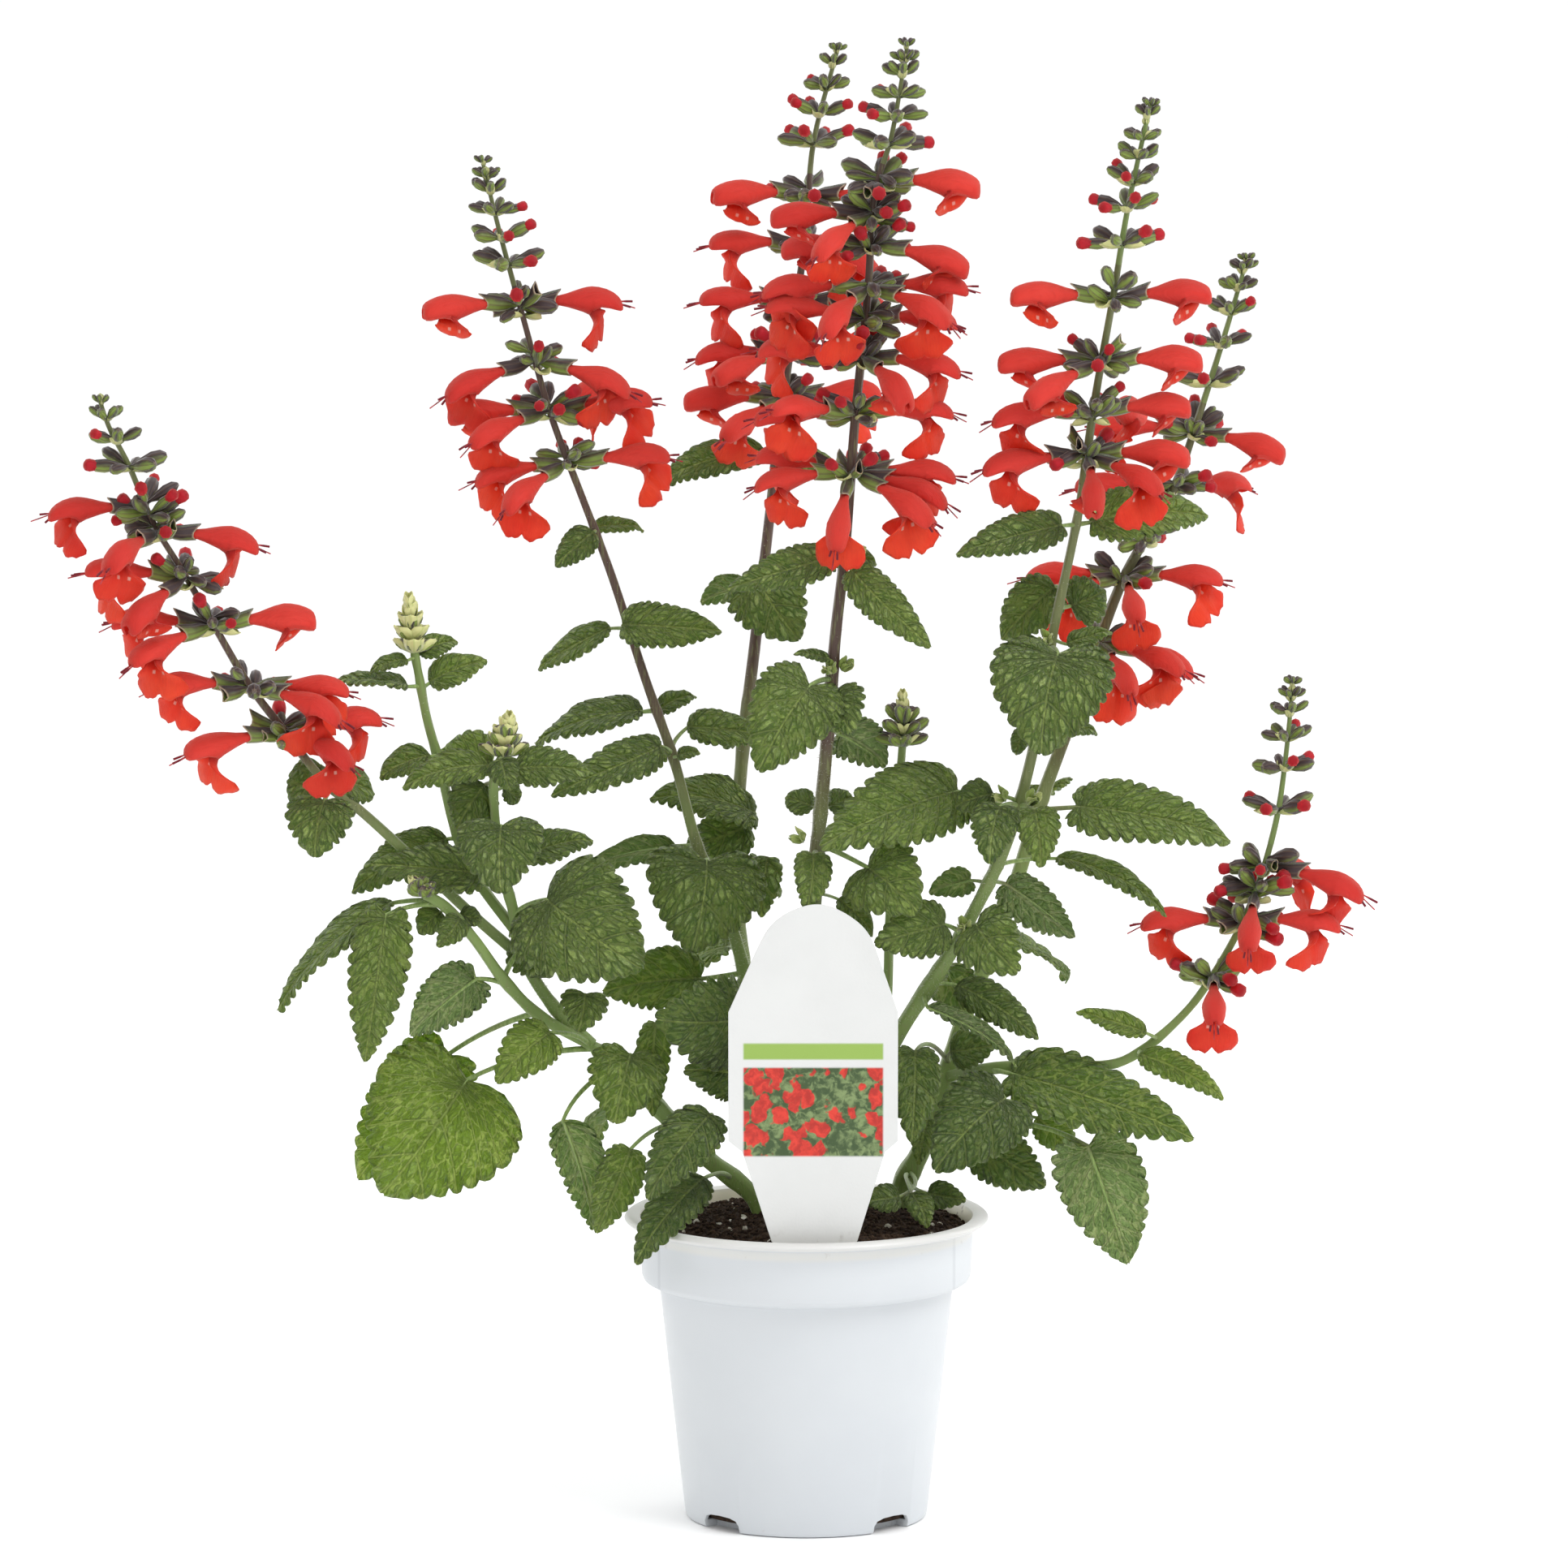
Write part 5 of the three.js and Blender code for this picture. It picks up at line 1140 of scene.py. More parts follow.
for nodeName, group in leafyGroups.items():
    paths = Gather()
    for name in group["members"]:
        stem = stems[name]
        spike = spikeOf.get(name)
        end = stem.at(spike["from"]) if spike else stemSteps
        index, points = stretch(stem, 0, end)
        low, high = stemLook["woolly"].get(name, (0, 0))
        rise = stem.rises[index]
        fuzz = np.where((rise > low) & (rise < high), 1.0, stemLook["sparse"])
        nodes = np.array([row[1] for row in leafPlan if row[0] == name])
        toNode = np.min(np.abs(rise[:, None] - nodes), 1)
        swell = stemLook["knotSwell"] * np.exp(-(toNode / stemLook["knotHalf"]) ** 2)
        half = stem.halfAt(index) * (1 + swell)
        if not spike:
            half[-1] *= 0.5
        young = spike.get("greenStem", 0.0) if spike else 1.0
        paths.addPath(points, half=half, fuzz=fuzz, young=np.full(len(index), young))
    body = grow(paths.make(nodeName + "_body"), sweep, Outline=stemRing, Material=stemSkin)
    fur = newObject(nodeName + "_hair", body.data.copy())
    fur = grow(fur, strew, Shapes=hairSet, Density=stemLook["hairDensity"],
               Smallest=stemLook["hairLength"][0], Largest=stemLook["hairLength"][1],
               Tilt=stemLook["hairLean"], Seed=stemLook["hairSeed"], Material=hairWhite)
    settle(body, "leaf", nodeName)
    settle(fur, "leaf", nodeName)
clearShapes(hairSet)
print("stems and hairs made")

# Flowers: each shape points along +x from its root, with its upper side toward +z, in mm. Kinds 0 to 9
# are open and 10 and 11 young and folded.
flowerLook = {
    "petalThick": 0.36, "hoodThick": 0.4, "lipRoot": (18.9, -3.7), "lipLength": 12.8, "notch": 0.15,
    "kinds": {"front": (0, 2), "right": (2, 5), "left": (5, 8), "hanging": (8, 10)},
    "lipTilt": (60, 68, 64, 58, 70, 64, 60, 70, 34, 40, 72, 76),
    "lipTwist": (0, 0, 34, 46, 58, -34, -46, -58, 0, 0, 62, -62), "openKinds": 10, "folded": 0.08,
    "lipCurl": (0.04, 0.12), "sizes": (0.97, 1.07), "roll": 12, "faceFront": 8,
    "scarlet": (0.95, 0.092, 0.026), "deepScarlet": (0.86, 0.045, 0.018), "crimson": (0.62, 0.026, 0.024),
    "hood": (0.85, 0.066, 0.046), "thread": (0.42, 0.06, 0.075), "anther": (0.06, 0.012, 0.03),
    "sheen": (1.0, 0.40, 0.30), "ball": (0.52, 0.014, 0.032), "ballEnd": (0.34, 0.008, 0.020),
    # The dark crimson for the lip's root is painted shade under the hood
    "throat": (0.36, 0.008, 0.012), "spot": (0.92, 0.62, 0.5), "glow": (0.98, 0.10, 0.025),
    "through": 0.36, "filament": 0.2, "antherHalf": 0.36, "seed": 70,
}
partKind = {"hood": 0.0, "lip": 1.0, "tip": 2.0, "stamen": 3.0}


def hoodShape(store, chance, folded):
    droop = chance.uniform(0.4, 2.4)
    bend = chance.uniform(-0.3, 0.4)
    x = np.array([8.8, 11.6, 14.0, 16.5, 18.5, 20.2, 21.5, 23.5, 25.8, 27.8, 29.1, 29.8, 30.1])
    top = np.array([1.2, 1.35, 1.7, 2.3, 2.7, 2.9, 3.0, 2.9, 2.6, 2.0, 1.2, 0.3, -0.8])
    tall = np.array([1.2, 1.35, 1.9, 2.7, 3.3, 3.9, 3.6, 3.3, 3.2, 2.9, 2.4, 1.6, 0.6])
    wide = np.array([1.1, 1.3, 1.8, 2.5, 3.0, 3.4, 3.6, 3.5, 3.3, 2.9, 2.3, 1.5, 0.5])
    parted = np.array([0.02, 0.02, 0.02, 0.03, 0.06, 0.25, 0.75, 0.95, 1.0, 1.0, 1.0, 1.0, 1.0])
    if folded:  # a blunt end that still covers the lip
        tall = 1.12 * tall
        top[-4:], tall[-4:], wide[-4:] = (2.1, 1.6, 1.0, 0.0), (3.4, 3.0, 2.3, 1.0), (3.1, 2.7, 2.0, 0.9)
        parted = 0.5 * parted
    x, top, tall, wide, parted = (row[:, None] for row in (x, top, tall, wide, parted))
    turns = np.linspace(-1, 1, 15) * (np.pi - parted)
    beyond = np.maximum(x - 19, 0) / 10
    z = top - tall + tall * np.cos(turns) - droop * beyond ** 2
    pinch = 1 - 0.12 * np.cos(turns) * smoothStep(x, 12, 20)
    y = wide * pinch * np.sin(turns) + bend * beyond ** 2
    dent = 0.16 * np.sin(turns * 3 + chance.uniform(0, 6)) * smoothStep(x, 14, 22)
    points, faces = thickSheet(grid(x, y, z + dent), flowerLook["hoodThick"])
    store.add(points, faces, petalPlace=grid(points[:, 0], points[:, 1] * 2, partKind["hood"]))


def lipShape(store, chance, tilt, twist, folded):
    look = flowerLook
    long = look["lipLength"] * chance.uniform(0.9, 1.06) * (1 - 0.46 * folded)
    v = np.array([0.0, 0.08, 0.17, 0.27, 0.36, 0.46, 0.56, 0.67, 0.78, 0.89, 1.0])[:, None]
    wide = np.array([5.2, 5.0, 4.7, 4.8, 5.7, 7.1, 8.2, 8.7, 8.6, 8.0, 7.0])[:, None]
    wide = wide * chance.uniform(0.94, 1.06)
    cup = chance.uniform(*look["lipCurl"])
    curve = np.interp(v, [0.0, 0.17, 0.3, 0.42, 0.55, 1.0], [0.44, 0.40, 0.30, 0.04, -0.7 * cup, -cup])
    if folded:
        wide, curve = np.interp(v, [0, 1], [5.2, 6.2]), np.interp(v, [0, 1], [0.24, 0.09])
    u = np.linspace(-1, 1, 15)
    away = np.abs(u)
    notch = look["notch"] * (1 - 0.8 * folded) * chance.uniform(0.6, 1.2) * np.exp(-(u / 0.14) ** 2)
    frill = (0.03 - 0.02 * folded) * np.sin(u * 11 + chance.uniform(0, 6)) * (away > 0.15)
    lobed = (0.16 + 0.2 * folded) * away ** 3.2
    s = long * v * (1 - smoothStep(v, 0.35, 1.0) * (notch + lobed + frill))
    flat = wide * u * (1 + 0.05 * np.sin(11 * v + chance.uniform(0, 6)))
    bend = curve + 1e-4
    y = np.sin(bend * flat) / bend
    raised = (1 - np.cos(bend * flat)) / bend
    phase = chance.uniform(0, 6.28)
    raised = raised + 0.55 * smoothStep(v, 0.35, 0.7) * away ** 1.5 * np.sin(u * 5 + 6 * v + phase)
    raised = raised + 1.4 * np.sin(np.pi * np.clip(s / long, 0, 1))
    raised = raised - chance.uniform(-0.5, 2.0) * (s / long) ** 2
    raised = raised - 0.6 * np.exp(-(flat / 0.8) ** 2) * smoothStep(v, 0.1, 0.5)
    tilt = math.radians(tilt + chance.uniform(-5, 8))
    turned = np.radians(twist) * smoothStep(v, 0.05, 0.5)
    y, raised = y * np.cos(turned) - raised * np.sin(turned), y * np.sin(turned) + raised * np.cos(turned)
    x = look["lipRoot"][0] + s * math.cos(tilt) + raised * math.sin(tilt)
    z = look["lipRoot"][1] - s * math.sin(tilt) + raised * math.cos(tilt)
    points, faces = thickSheet(grid(x, y + chance.uniform(-0.12, 0.12) * s, z), look["petalThick"])
    part = grid(s, flat, partKind["lip"]).reshape(-1, 3)
    store.add(points, faces, petalPlace=np.tile(part, (2, 1)))


def corollaShape(store, chance, kind):
    folded = kind >= flowerLook["openKinds"]
    hoodShape(store, chance, folded)
    lipShape(store, chance, flowerLook["lipTilt"][kind], flowerLook["lipTwist"][kind], folded)


# Ribbed two-lipped cup of a flower: one pointed lobe above and two below
def calyxShape(store, chance, around=14):
    f = np.array([0.0, 0.16, 0.28, 0.42, 0.58, 0.74, 0.88, 1.0])[:, None]
    turns = circle(around)
    upper = np.maximum(np.cos(turns), 0)
    lower = np.maximum(np.cos(turns - 2.72), 0) ** 4 + np.maximum(np.cos(turns + 2.72), 0) ** 4
    x = f * (10.0 + chance.uniform(1.8, 2.9) * upper ** 1.6 + 1.2 * np.minimum(lower, 1))
    r = np.interp(x, [0.0, 2.0, 3.4, 5.5, 7.5, 9.5, 13.0], [0.5, 0.65, 1.4, 2.05, 2.05, 1.65, 1.0])
    rib = 1 + 0.07 * np.cos(turns * around / 2) * smoothStep(x, 2.5, 5)
    rise = chance.uniform(0.25, 0.5) * np.maximum(x - 6.5, 0) * upper ** 0.7
    fall = 0.10 * np.maximum(x - 7.0, 0) * np.maximum(-np.cos(turns), 0)
    cup = grid(x, 0.88 * r * rib * np.sin(turns), r * rib * np.cos(turns) + rise - fall)
    points, faces = thickSheet(cup, np.interp(f, [0, 0.3, 1], [0.5, 0.5, 0.28]), around=True)
    part = grid(calyxLook["mouth"] * f, turns, 0.0).reshape(-1, 3)
    store.add(points, faces, calyxPlace=np.tile(part, (2, 1)))


# A closed calyx or bud of length 10: a ribbed club, in few faces
def clubShape(store, fat, chance):
    x = np.array([0.0, 1.6, 3.4, 6.0, 8.4, 9.7])[:, None]
    r = np.array([0.5, 0.55, 1.2, 1.75, 1.5, 0.55])[:, None] * fat
    turns = circle(8)
    bend = chance.uniform(-0.3, 0.5) * (x / 10) ** 2
    rings = grid(x, r * 0.9 * np.sin(turns), r * np.cos(turns) + bend)
    points, faces = closedRings(rings[:, ::-1])
    turn = np.arctan2(points[:, 1], points[:, 2])
    store.add(points, faces, calyxPlace=grid(points[:, 0] * 1.2, turn, 0.0))


# A broad cupped bract that hugs what stands above it
def cupBractShape(store, chance):
    v = np.array([0.0, 0.14, 0.32, 0.52, 0.72, 0.9, 1.0])[:, None]
    wide = np.array([1.0, 3.0, 4.4, 4.5, 3.3, 1.4, 0.08])[:, None]
    deep = 2.7
    flat = wide * np.linspace(-1, 1, 7)
    z = deep * (1 - np.cos(flat / deep)) + chance.uniform(2.4, 3.6) * v ** 2.4
    sheet = grid(8.0 * v - 0.8 * v ** 3, deep * np.sin(flat / deep), z)
    points, faces = thickSheet(sheet, calyxLook["bractThick"])
    store.add(points, faces, calyxPlace=grid(points[:, 0], points[:, 1] * 0.5, 1.0))


def budTipShape(store):
    x = np.array([-2.2, 0.4, 1.9, 3.0, 3.6])[:, None]
    r = np.array([1.1, 1.7, 2.0, 1.75, 0.8])[:, None]
    rings = grid(x, r * np.sin(circle(7)), r * np.cos(circle(7)))
    points, faces = closedRings(rings[:, ::-1])
    store.add(points, faces, petalPlace=grid(points[:, 0] * 2, points[:, 1], partKind["tip"]))


# Stamens and style, from inside the hood out past its tip
def filamentPaths(store, chance):
    count = 8
    for side, reach, dip in ((-0.5, 32.4, -3.4), (0.5, 33.6, -2.4), (0.0, 34.8, -4.6)):
        reach += chance.uniform(-1.2, 1.0)
        dip += chance.uniform(-1.2, 1.2)
        bends = [(21.0, side, -1.0), (27.0, side * 1.2, -2.0), (reach, side * 2.6, dip - 1.2)]
        path = curveThrough(bends, count)
        half = np.full(count, flowerLook["filament"])
        if side:  # a stamen ends in an anther, the style doesn't
            half[-2:] = flowerLook["antherHalf"]
        along = np.interp(np.arange(count), [0, 5, 6, 7], [10, 10.5, 12, 13 if side else 10.5])
        store.addPath(path, half=half, petalPlace=grid(along, 0.0, partKind["stamen"]))


def petalMaterial():
    look, tree = newLook("scarletPetal")
    colours = flowerLook
    place = attribute(tree, "petalPlace")
    along, across, part = place.parts()
    isLip = calc(tree, "COMPARE", part, partKind["lip"], 0.3)
    isTip = calc(tree, "COMPARE", part, partKind["tip"], 0.3)
    isStamen = part.between(partKind["stamen"] - 0.4, partKind["stamen"] - 0.1)
    streaky = place.stretched(0.22, 1.9, 3.0)
    streaks = streaky.grain(1.0, 4.0)
    cloud = objectPlace(tree).grain(90.0)
    body = cloud.between(0.3, 0.75).blend(colours["scarlet"], colours["deepScarlet"])
    body = isLip.blend(colours["hood"], body)
    body = (attribute(tree, "tone", "Fac") * 0.55).blend(body, colours["crimson"])
    body = streaks.between(0.45, 0.75, 0.0, 0.35).blend(body, colours["crimson"])
    # Painted shade: the lip darkens toward its root, where it runs in under the hood
    body = (isLip * along.between(1.0, 5.0, 0.8, 0.0)).blend(body, colours["throat"])
    beside = abs(abs(across) - 1.7).between(0.25, 0.6, 1.0, 0.0)
    nearThroat = abs(along - 4.6).between(0.3, 0.7, 0.9, 0.0)
    body = (beside * nearThroat * isLip).blend(body, colours["spot"])
    body = isTip.blend(body, along.between(4.6, 7.0).blend(colours["ball"], colours["ballEnd"]))
    body = isStamen.blend(body, along.between(11.0, 12.0).blend(colours["thread"], colours["anther"]))
    dress(look, body, streaks + streaky.grain(5.0) * 0.35, 0.0004,
          Roughness=cloud.between(0.3, 0.7, 0.45, 0.6), Specular_IOR_Level=0.35,
          Sheen_Weight=0.7, Sheen_Roughness=0.35, Sheen_Tint=colours["sheen"])
    return letLightThrough(look, colours["glow"], colours["through"])


# Calyces, closed buds and bracts
calyxLook = {
    "above": (0.055, 0.032, 0.034), "below": (0.24, 0.34, 0.055), "rib": (0.12, 0.07, 0.045),
    "edge": (0.62, 0.48, 0.32), "bract": (0.76, 0.76, 0.34), "bractVein": (0.54, 0.62, 0.20),
    "leafyBract": (0.30, 0.40, 0.09), "mouth": 12.2, "bractThick": 0.32, "redTip": 0.4, "earlyCup": 0.07,
    "closedLength": (9.5, 12.5), "closedLift": (-18, 42), "closedGap": 16, "perWhorl": 13,
    "budLongest": 12.0, "budShortest": 3.6, "hangingBract": (6.0, 8.0), "through": 0.18,
    "clubFat": (0.95, 1.1, 1.25), "clubSeed": 90, "clubLong": 10, "cupLong": 13.5, "bractLong": 8.2,
    "bractSeed": 150, "bractKinds": 3, "spread": 2.2,
}


def calyxMaterial():
    look, tree = newLook("ribbedCalyx")
    colours = calyxLook
    length, turn, isBract = attribute(tree, "calyxPlace").parts()
    tone = attribute(tree, "tone", "Fac")
    cloud = objectPlace(tree).grain(220.0)
    ribs = (turn * 8.0).cosine()
    upper = turn.cosine() + (tone * 1.6 - 0.7) + (cloud - 0.5) * 1.2
    cup = upper.between(-0.5, 0.6).blend(colours["below"], colours["above"])
    cup = ribs.between(0.2, 1.0, 0.0, 0.55).blend(cup, colours["rib"])
    cup = length.between(colours["mouth"] - 0.9, colours["mouth"], 0.0, 0.75).blend(cup, colours["edge"])
    veins = (turn * 7.0).cosine().between(0.5, 1.0)
    bract = (veins * 0.6).blend(colours["bract"], colours["bractVein"])
    leafy = tone.between(0.35, 0.9).most(length.between(0.5, 3.5, 0.6, 0.0))
    colour = isBract.blend(cup, leafy.blend(bract, colours["leafyBract"]))
    dress(look, colour, ribs * 0.4 + cloud * 0.4, 0.00025, Roughness=0.5, Sheen_Weight=0.6,
          Sheen_Roughness=0.35)
    return letLightThrough(look, colour, colours["through"])


petalRed = petalMaterial()
calyxPurple = calyxMaterial()

petalShapes, cupShapes, threadShapes = [], [], []
for kind in range(len(flowerLook["lipTilt"])):
    chance = np.random.default_rng(flowerLook["seed"] + kind)
    petalShapes.append(shaped("petalShape%d" % kind, corollaShape, chance, kind))
    cupShapes.append(shaped("cupShape%d" % kind, calyxShape, chance))
    threads = shaped("threadShape%d" % kind, filamentPaths, chance)
    threadShapes.append(grow(threads, sweep, Outline=roundRing, Material=petalRed))
petalSet = shapeSet("petalShapes", petalShapes)
cupSet = shapeSet("cupShapes", cupShapes)
threadSet = shapeSet("threadShapes", threadShapes)
clubSet = shapeSet("clubShapes", [
    shaped("clubShape%d" % kind, clubShape, fat, np.random.default_rng(calyxLook["clubSeed"] + kind))
    for kind, fat in enumerate(calyxLook["clubFat"])
])
bractSet = shapeSet("bractShapes", [
    shaped("bractShape%d" % kind, cupBractShape, np.random.default_rng(calyxLook["bractSeed"] + kind))
    for kind in range(calyxLook["bractKinds"])
])
tipSet = shapeSet("tipShapes", [shaped("tipShape", budTipShape)])
print("flower shapes made")


# Points that say where each shape of a set goes
class Spots:
    def __init__(self):
        self.rows = []

    def add(self, point, turn, kind=0, size=1.0, tone=0.5):
        size = (size, size, size) if np.isscalar(size) else size
        self.rows.append((point, turn, kind, size, tone))

    def make(self, name, shapes, material, slot, *nodes):
        points, *values = (np.array(row) for row in zip(*self.rows))
        mesh = bpy.data.meshes.new(name)
        mesh.from_pydata(points * mm, [], [])
        for key, row in zip(("turn", "kind", "size", "tone"), values):
            setValues(mesh, key, row)
        made = grow(newObject(name, mesh), scatter, Shapes=shapes, Material=material)
        return settle(made, slot, *nodes)


def anyClub():
    return int(luck.integers(len(calyxLook["clubFat"])))


def anyBract():
    return int(luck.integers(calyxLook["bractKinds"]))


def awayFrom(heading, others):
    return min([abs((heading - other + 180) % 360 - 180) for other in others] or [180])


def kindFor(heading, lift):  # lips turn to the front, and hanging flowers spread theirs
    side = math.cos(math.radians(heading))
    turned = "right" if side > 0.35 else "left" if side < -0.35 else "hanging" if lift < -24 else "front"
    return int(luck.integers(*flowerLook["kinds"][turned]))


def addOpen(spots, stem, rise, flowers, foldedShare):
    for heading, lift in flowers:
        root = stem.rootFor(rise, heading)
        side = math.cos(math.radians(heading))
        kind = kindFor(heading, lift)
        folded = luck.uniform(0, 1) < foldedShare
        if folded:
            kind = flowerLook["openKinds"] + (side < 0)
        size = luck.uniform(*flowerLook["sizes"])
        roll = side * flowerLook["faceFront"] + luck.uniform(-1, 1) * flowerLook["roll"]
        tone = luck.uniform(0, 1)
        for piece in ("petals", "calyces") if folded else ("petals", "calyces", "stamens"):
            spots[piece].add(root, turnTo(heading, lift, roll), kind, size, tone)


def addClosed(spots, stem, rise, headings, start):
    count, spread = calyxLook["perWhorl"], calyxLook["spread"]
    for k in range(count):
        heading = start + 360 * (k + luck.uniform(-0.25, 0.25)) / count
        if awayFrom(heading, headings) < calyxLook["closedGap"]:
            continue
        long = luck.uniform(*calyxLook["closedLength"])
        lift = luck.uniform(*calyxLook["closedLift"])
        root = stem.rootFor(rise + luck.uniform(-spread, spread), heading)
        turn = turnTo(heading, lift)
        tone = luck.uniform(0, 1)
        if luck.uniform(0, 1) < calyxLook["earlyCup"]:
            spots["calyces"].add(root, turn, int(luck.integers(len(cupShapes))),
                                 long / calyxLook["cupLong"], tone)
            continue
        spots["closedCalyces"].add(root, turn, anyClub(), long / calyxLook["clubLong"], tone)
        if luck.uniform(0, 1) < calyxLook["redTip"]:
            end = root + outward(heading, lift) * long * 0.88
            spots["petalBuds"].add(end, turn, 0, luck.uniform(0.85, 1.18), tone)


def addTier(spots, stem, rise, tier, share):
    size = calyxLook["budLongest"] + (calyxLook["budShortest"] - calyxLook["budLongest"]) * share
    fat = 0.98 * (size / calyxLook["clubLong"]) ** 0.7
    count = 6 if size > 5 else 5
    for k in range(count):
        heading = 360 * (k + 0.5 * (tier % 2)) / count + 12 + luck.uniform(-8, 8)
        lift = 8 + 30 * share + luck.uniform(-8, 16)
        root = stem.rootFor(rise, heading)
        turn = turnTo(heading, lift)
        tone = luck.uniform(0.0, 0.8)
        spots["buds"].add(root, turn, anyClub(), (size / calyxLook["clubLong"], fat, fat), tone)
        if tier < 3 and luck.uniform(0, 1) < 0.5 - 0.15 * tier:
            end = root + outward(heading, lift) * size * 0.84
            spots["petalBuds"].add(end, turn, 0, 0.92 * fat, tone)
    for k in range(2):
        heading = 180 * k + 90 * (tier % 2) + luck.uniform(-20, 20)
        spots["tipBracts"].add(stem.rootFor(rise - 1, heading), turnTo(heading, -12 + 60 * share),
                               anyBract(), size / 12.5, luck.uniform(0.0, 0.4))


# What each kind of piece on a spike is made of: shapes, material, slot and the node it stands for
spikePieces = {
    "petals": (petalSet, petalRed, "petal", "bloom_"),
    "stamens": (threadSet, petalRed, "petal", "bloom_"),
    "petalBuds": (tipSet, petalRed, "petal", "bloom_"),
    "calyces": (cupSet, calyxPurple, "bud", "bloom_"),
    "closedCalyces": (clubSet, calyxPurple, "bud", "bloom_"),
    "bracts": (bractSet, calyxPurple, "bud", "bloom_"),
    "buds": (clubSet, calyxPurple, "bud", "buds_"),
    "tipBracts": (bractSet, calyxPurple, "bud", "buds_"),
}

for spikeName, spike in spikePlan.items():
    stem = stems[spike["stem"]]
    spots = {piece: Spots() for piece in spikePieces}
    green = spike.get("greenStem", 0.0)
    for number, (rise, flowers) in enumerate(spike["whorls"]):
        isLast = number == len(spike["whorls"]) - 1
        addOpen(spots, stem, rise, flowers, spike.get("folded", flowerLook["folded"]) + 0.4 * isLast)
        start = luck.uniform(0, 360)
        addClosed(spots, stem, rise, [heading for heading, lift in flowers], start)
        for k in range(2):
            heading = start + 180 * k + luck.uniform(-30, 30) + 90 * (number % 2)
            size = luck.uniform(*calyxLook["hangingBract"]) / calyxLook["bractLong"]
            spots["bracts"].add(stem.rootFor(rise - 2.5, heading), turnTo(heading, luck.uniform(-34, -8)),
                                anyBract(), size, luck.uniform(0, 0.5))
    for tier, rise in enumerate(spike["buds"]):
        addTier(spots, stem, rise, tier, tier / (len(spike["buds"]) - 1))
    for k in range(4):
        spots["tipBracts"].add(stem.points[-6], turnTo(90 * k + 30, 66), k % 3, 0.36, 0.5)
    for piece, (shapes, material, slot, node) in spikePieces.items():
        spots[piece].make(spikeName + "_" + piece, shapes, material, slot, node + spikeName)
    low, middle = stem.at(spike["from"]), stem.at(spike["to"])
    for piece, start, end, young, node in (("_bloomStem", low, middle, green, "bloom_"),
                                           ("_tipStem", middle, stemSteps, green + 0.5, "buds_")):
        index, points = stretch(stem, start, end)
        path = Gather()
        path.addPath(points, half=stem.halfAt(index), young=np.full(len(index), young))
        body = grow(path.make(spikeName + piece), sweep, Outline=stemRing, Material=stemSkin)
        settle(body, "bud", node + spikeName)
print("flower spikes made")


# Leafy heads at the tips of young shoots and small buds in the leaf axils
headSpots, headKnobs = {}, {}
for name, foot, top, half, budding in headPlan:
    node = groupOf[name]
    spots = headSpots.setdefault(node, Spots())
    foot, top = leaning(name, foot), leaning(name, top)
    for tier in range(5):
        share = tier / 4
        at = foot + (top - foot) * (0.74 * share - 0.05)
        for k in range(3 if tier < 4 else 2):
            heading = 120 * k + 60 * (tier % 2) + 30 + luck.uniform(-8, 8)
            lift = 10 + 53 * share + luck.uniform(-5, 5)
            size = half * (1.16 - 0.36 * share) * (1 - 0.22 * budding) / 7
            spots.add(at, turnTo(heading, lift), anyBract(), size, luck.uniform(0, 0.3))
            for side in (-17, 17) if tier < 3 else ():
                knobs = headKnobs.setdefault(node, Spots())
                long = half * luck.uniform(0.095, 0.115) * (1 - 0.3 * share) * (1 + 0.3 * budding)
                fat = 0.72 + 0.28 * budding
                turn = turnTo(heading + side, lift + 22 - 8 * budding)
                knobs.add(at, turn, anyClub(), (long, fat, fat), luck.uniform(0.0, 0.45))
for name, rise, at, size in axilPlan:
    spots = headSpots.setdefault(groupOf[name], Spots())
    stem = stems[name]
    middle = stem.points[stem.at(rise)]
    way = leaning(name, at, rise) - middle
    heading = headingTo(way)
    lift = math.degrees(math.asin(way[2] / np.linalg.norm(way)))
    foot = middle + way - outward(heading, lift) * size * 0.6
    for k in range(5):
        spots.add(foot, turnTo(heading + (k % 2 * 30 - 15), lift + 9 * k - 10, 90 * k), k % 3,
                  (0.15 * size, 0.10 * size, 0.10 * size), luck.uniform(0.55, 0.95))
for node, spots in headSpots.items():
    spots.make(node + "_heads", bractSet, calyxPurple, "bud", node)
for node, spots in headKnobs.items():
    spots.make(node + "_headBuds", clubSet, calyxPurple, "bud", node)
for group in (petalSet, cupSet, threadSet, clubSet, bractSet, tipSet):
    clearShapes(group)
print("bud heads made")


# Pot
potLook = {
    "height": 96, "wall": 1.6, "floor": 2.4, "base": 38, "collarFoot": 74, "bodyTop": 46, "collar": 51.5,
    "lip": 57, "lipHeight": 2.6, "round": 1.5, "mouthDrop": 2.4, "sides": 128,
    "notchHeight": 5, "notchDepth": 6, "notchWidth": 15, "bevel": 0.35,
    # The beige inner-wall colour is painted light shining through the wall
    "white": (0.66, 0.690, 0.715), "cloud": (0.63, 0.66, 0.69), "innerWallGlow": (0.84, 0.79, 0.66),
    # The first colour here darkens the painted shade under the collar and lip as well as the mould seams
    # The lip-top colour here is painted light
    "shadeAndMouldLine": (0.40, 0.43, 0.46), "rimTopLight": (0.70, 0.70, 0.685), "dirt": (0.20, 0.14, 0.09),
    # The first two rises here are where the painted shade runs
    "collarShadeRise": 0.0741, "underLipShade": 0.0930, "mouldAcross": 0.0458, "mouthRadius": (0.0525, 0.0515),
    "arch": [
        (-1.0, -1.0), (1.0, -1.0), (1.0, 0.5), (0.86, 0.8), (0.55, 0.95), (0.0, 1.0), (-0.55, 0.95),
        (-0.86, 0.8), (-1.0, 0.5),
    ],
}


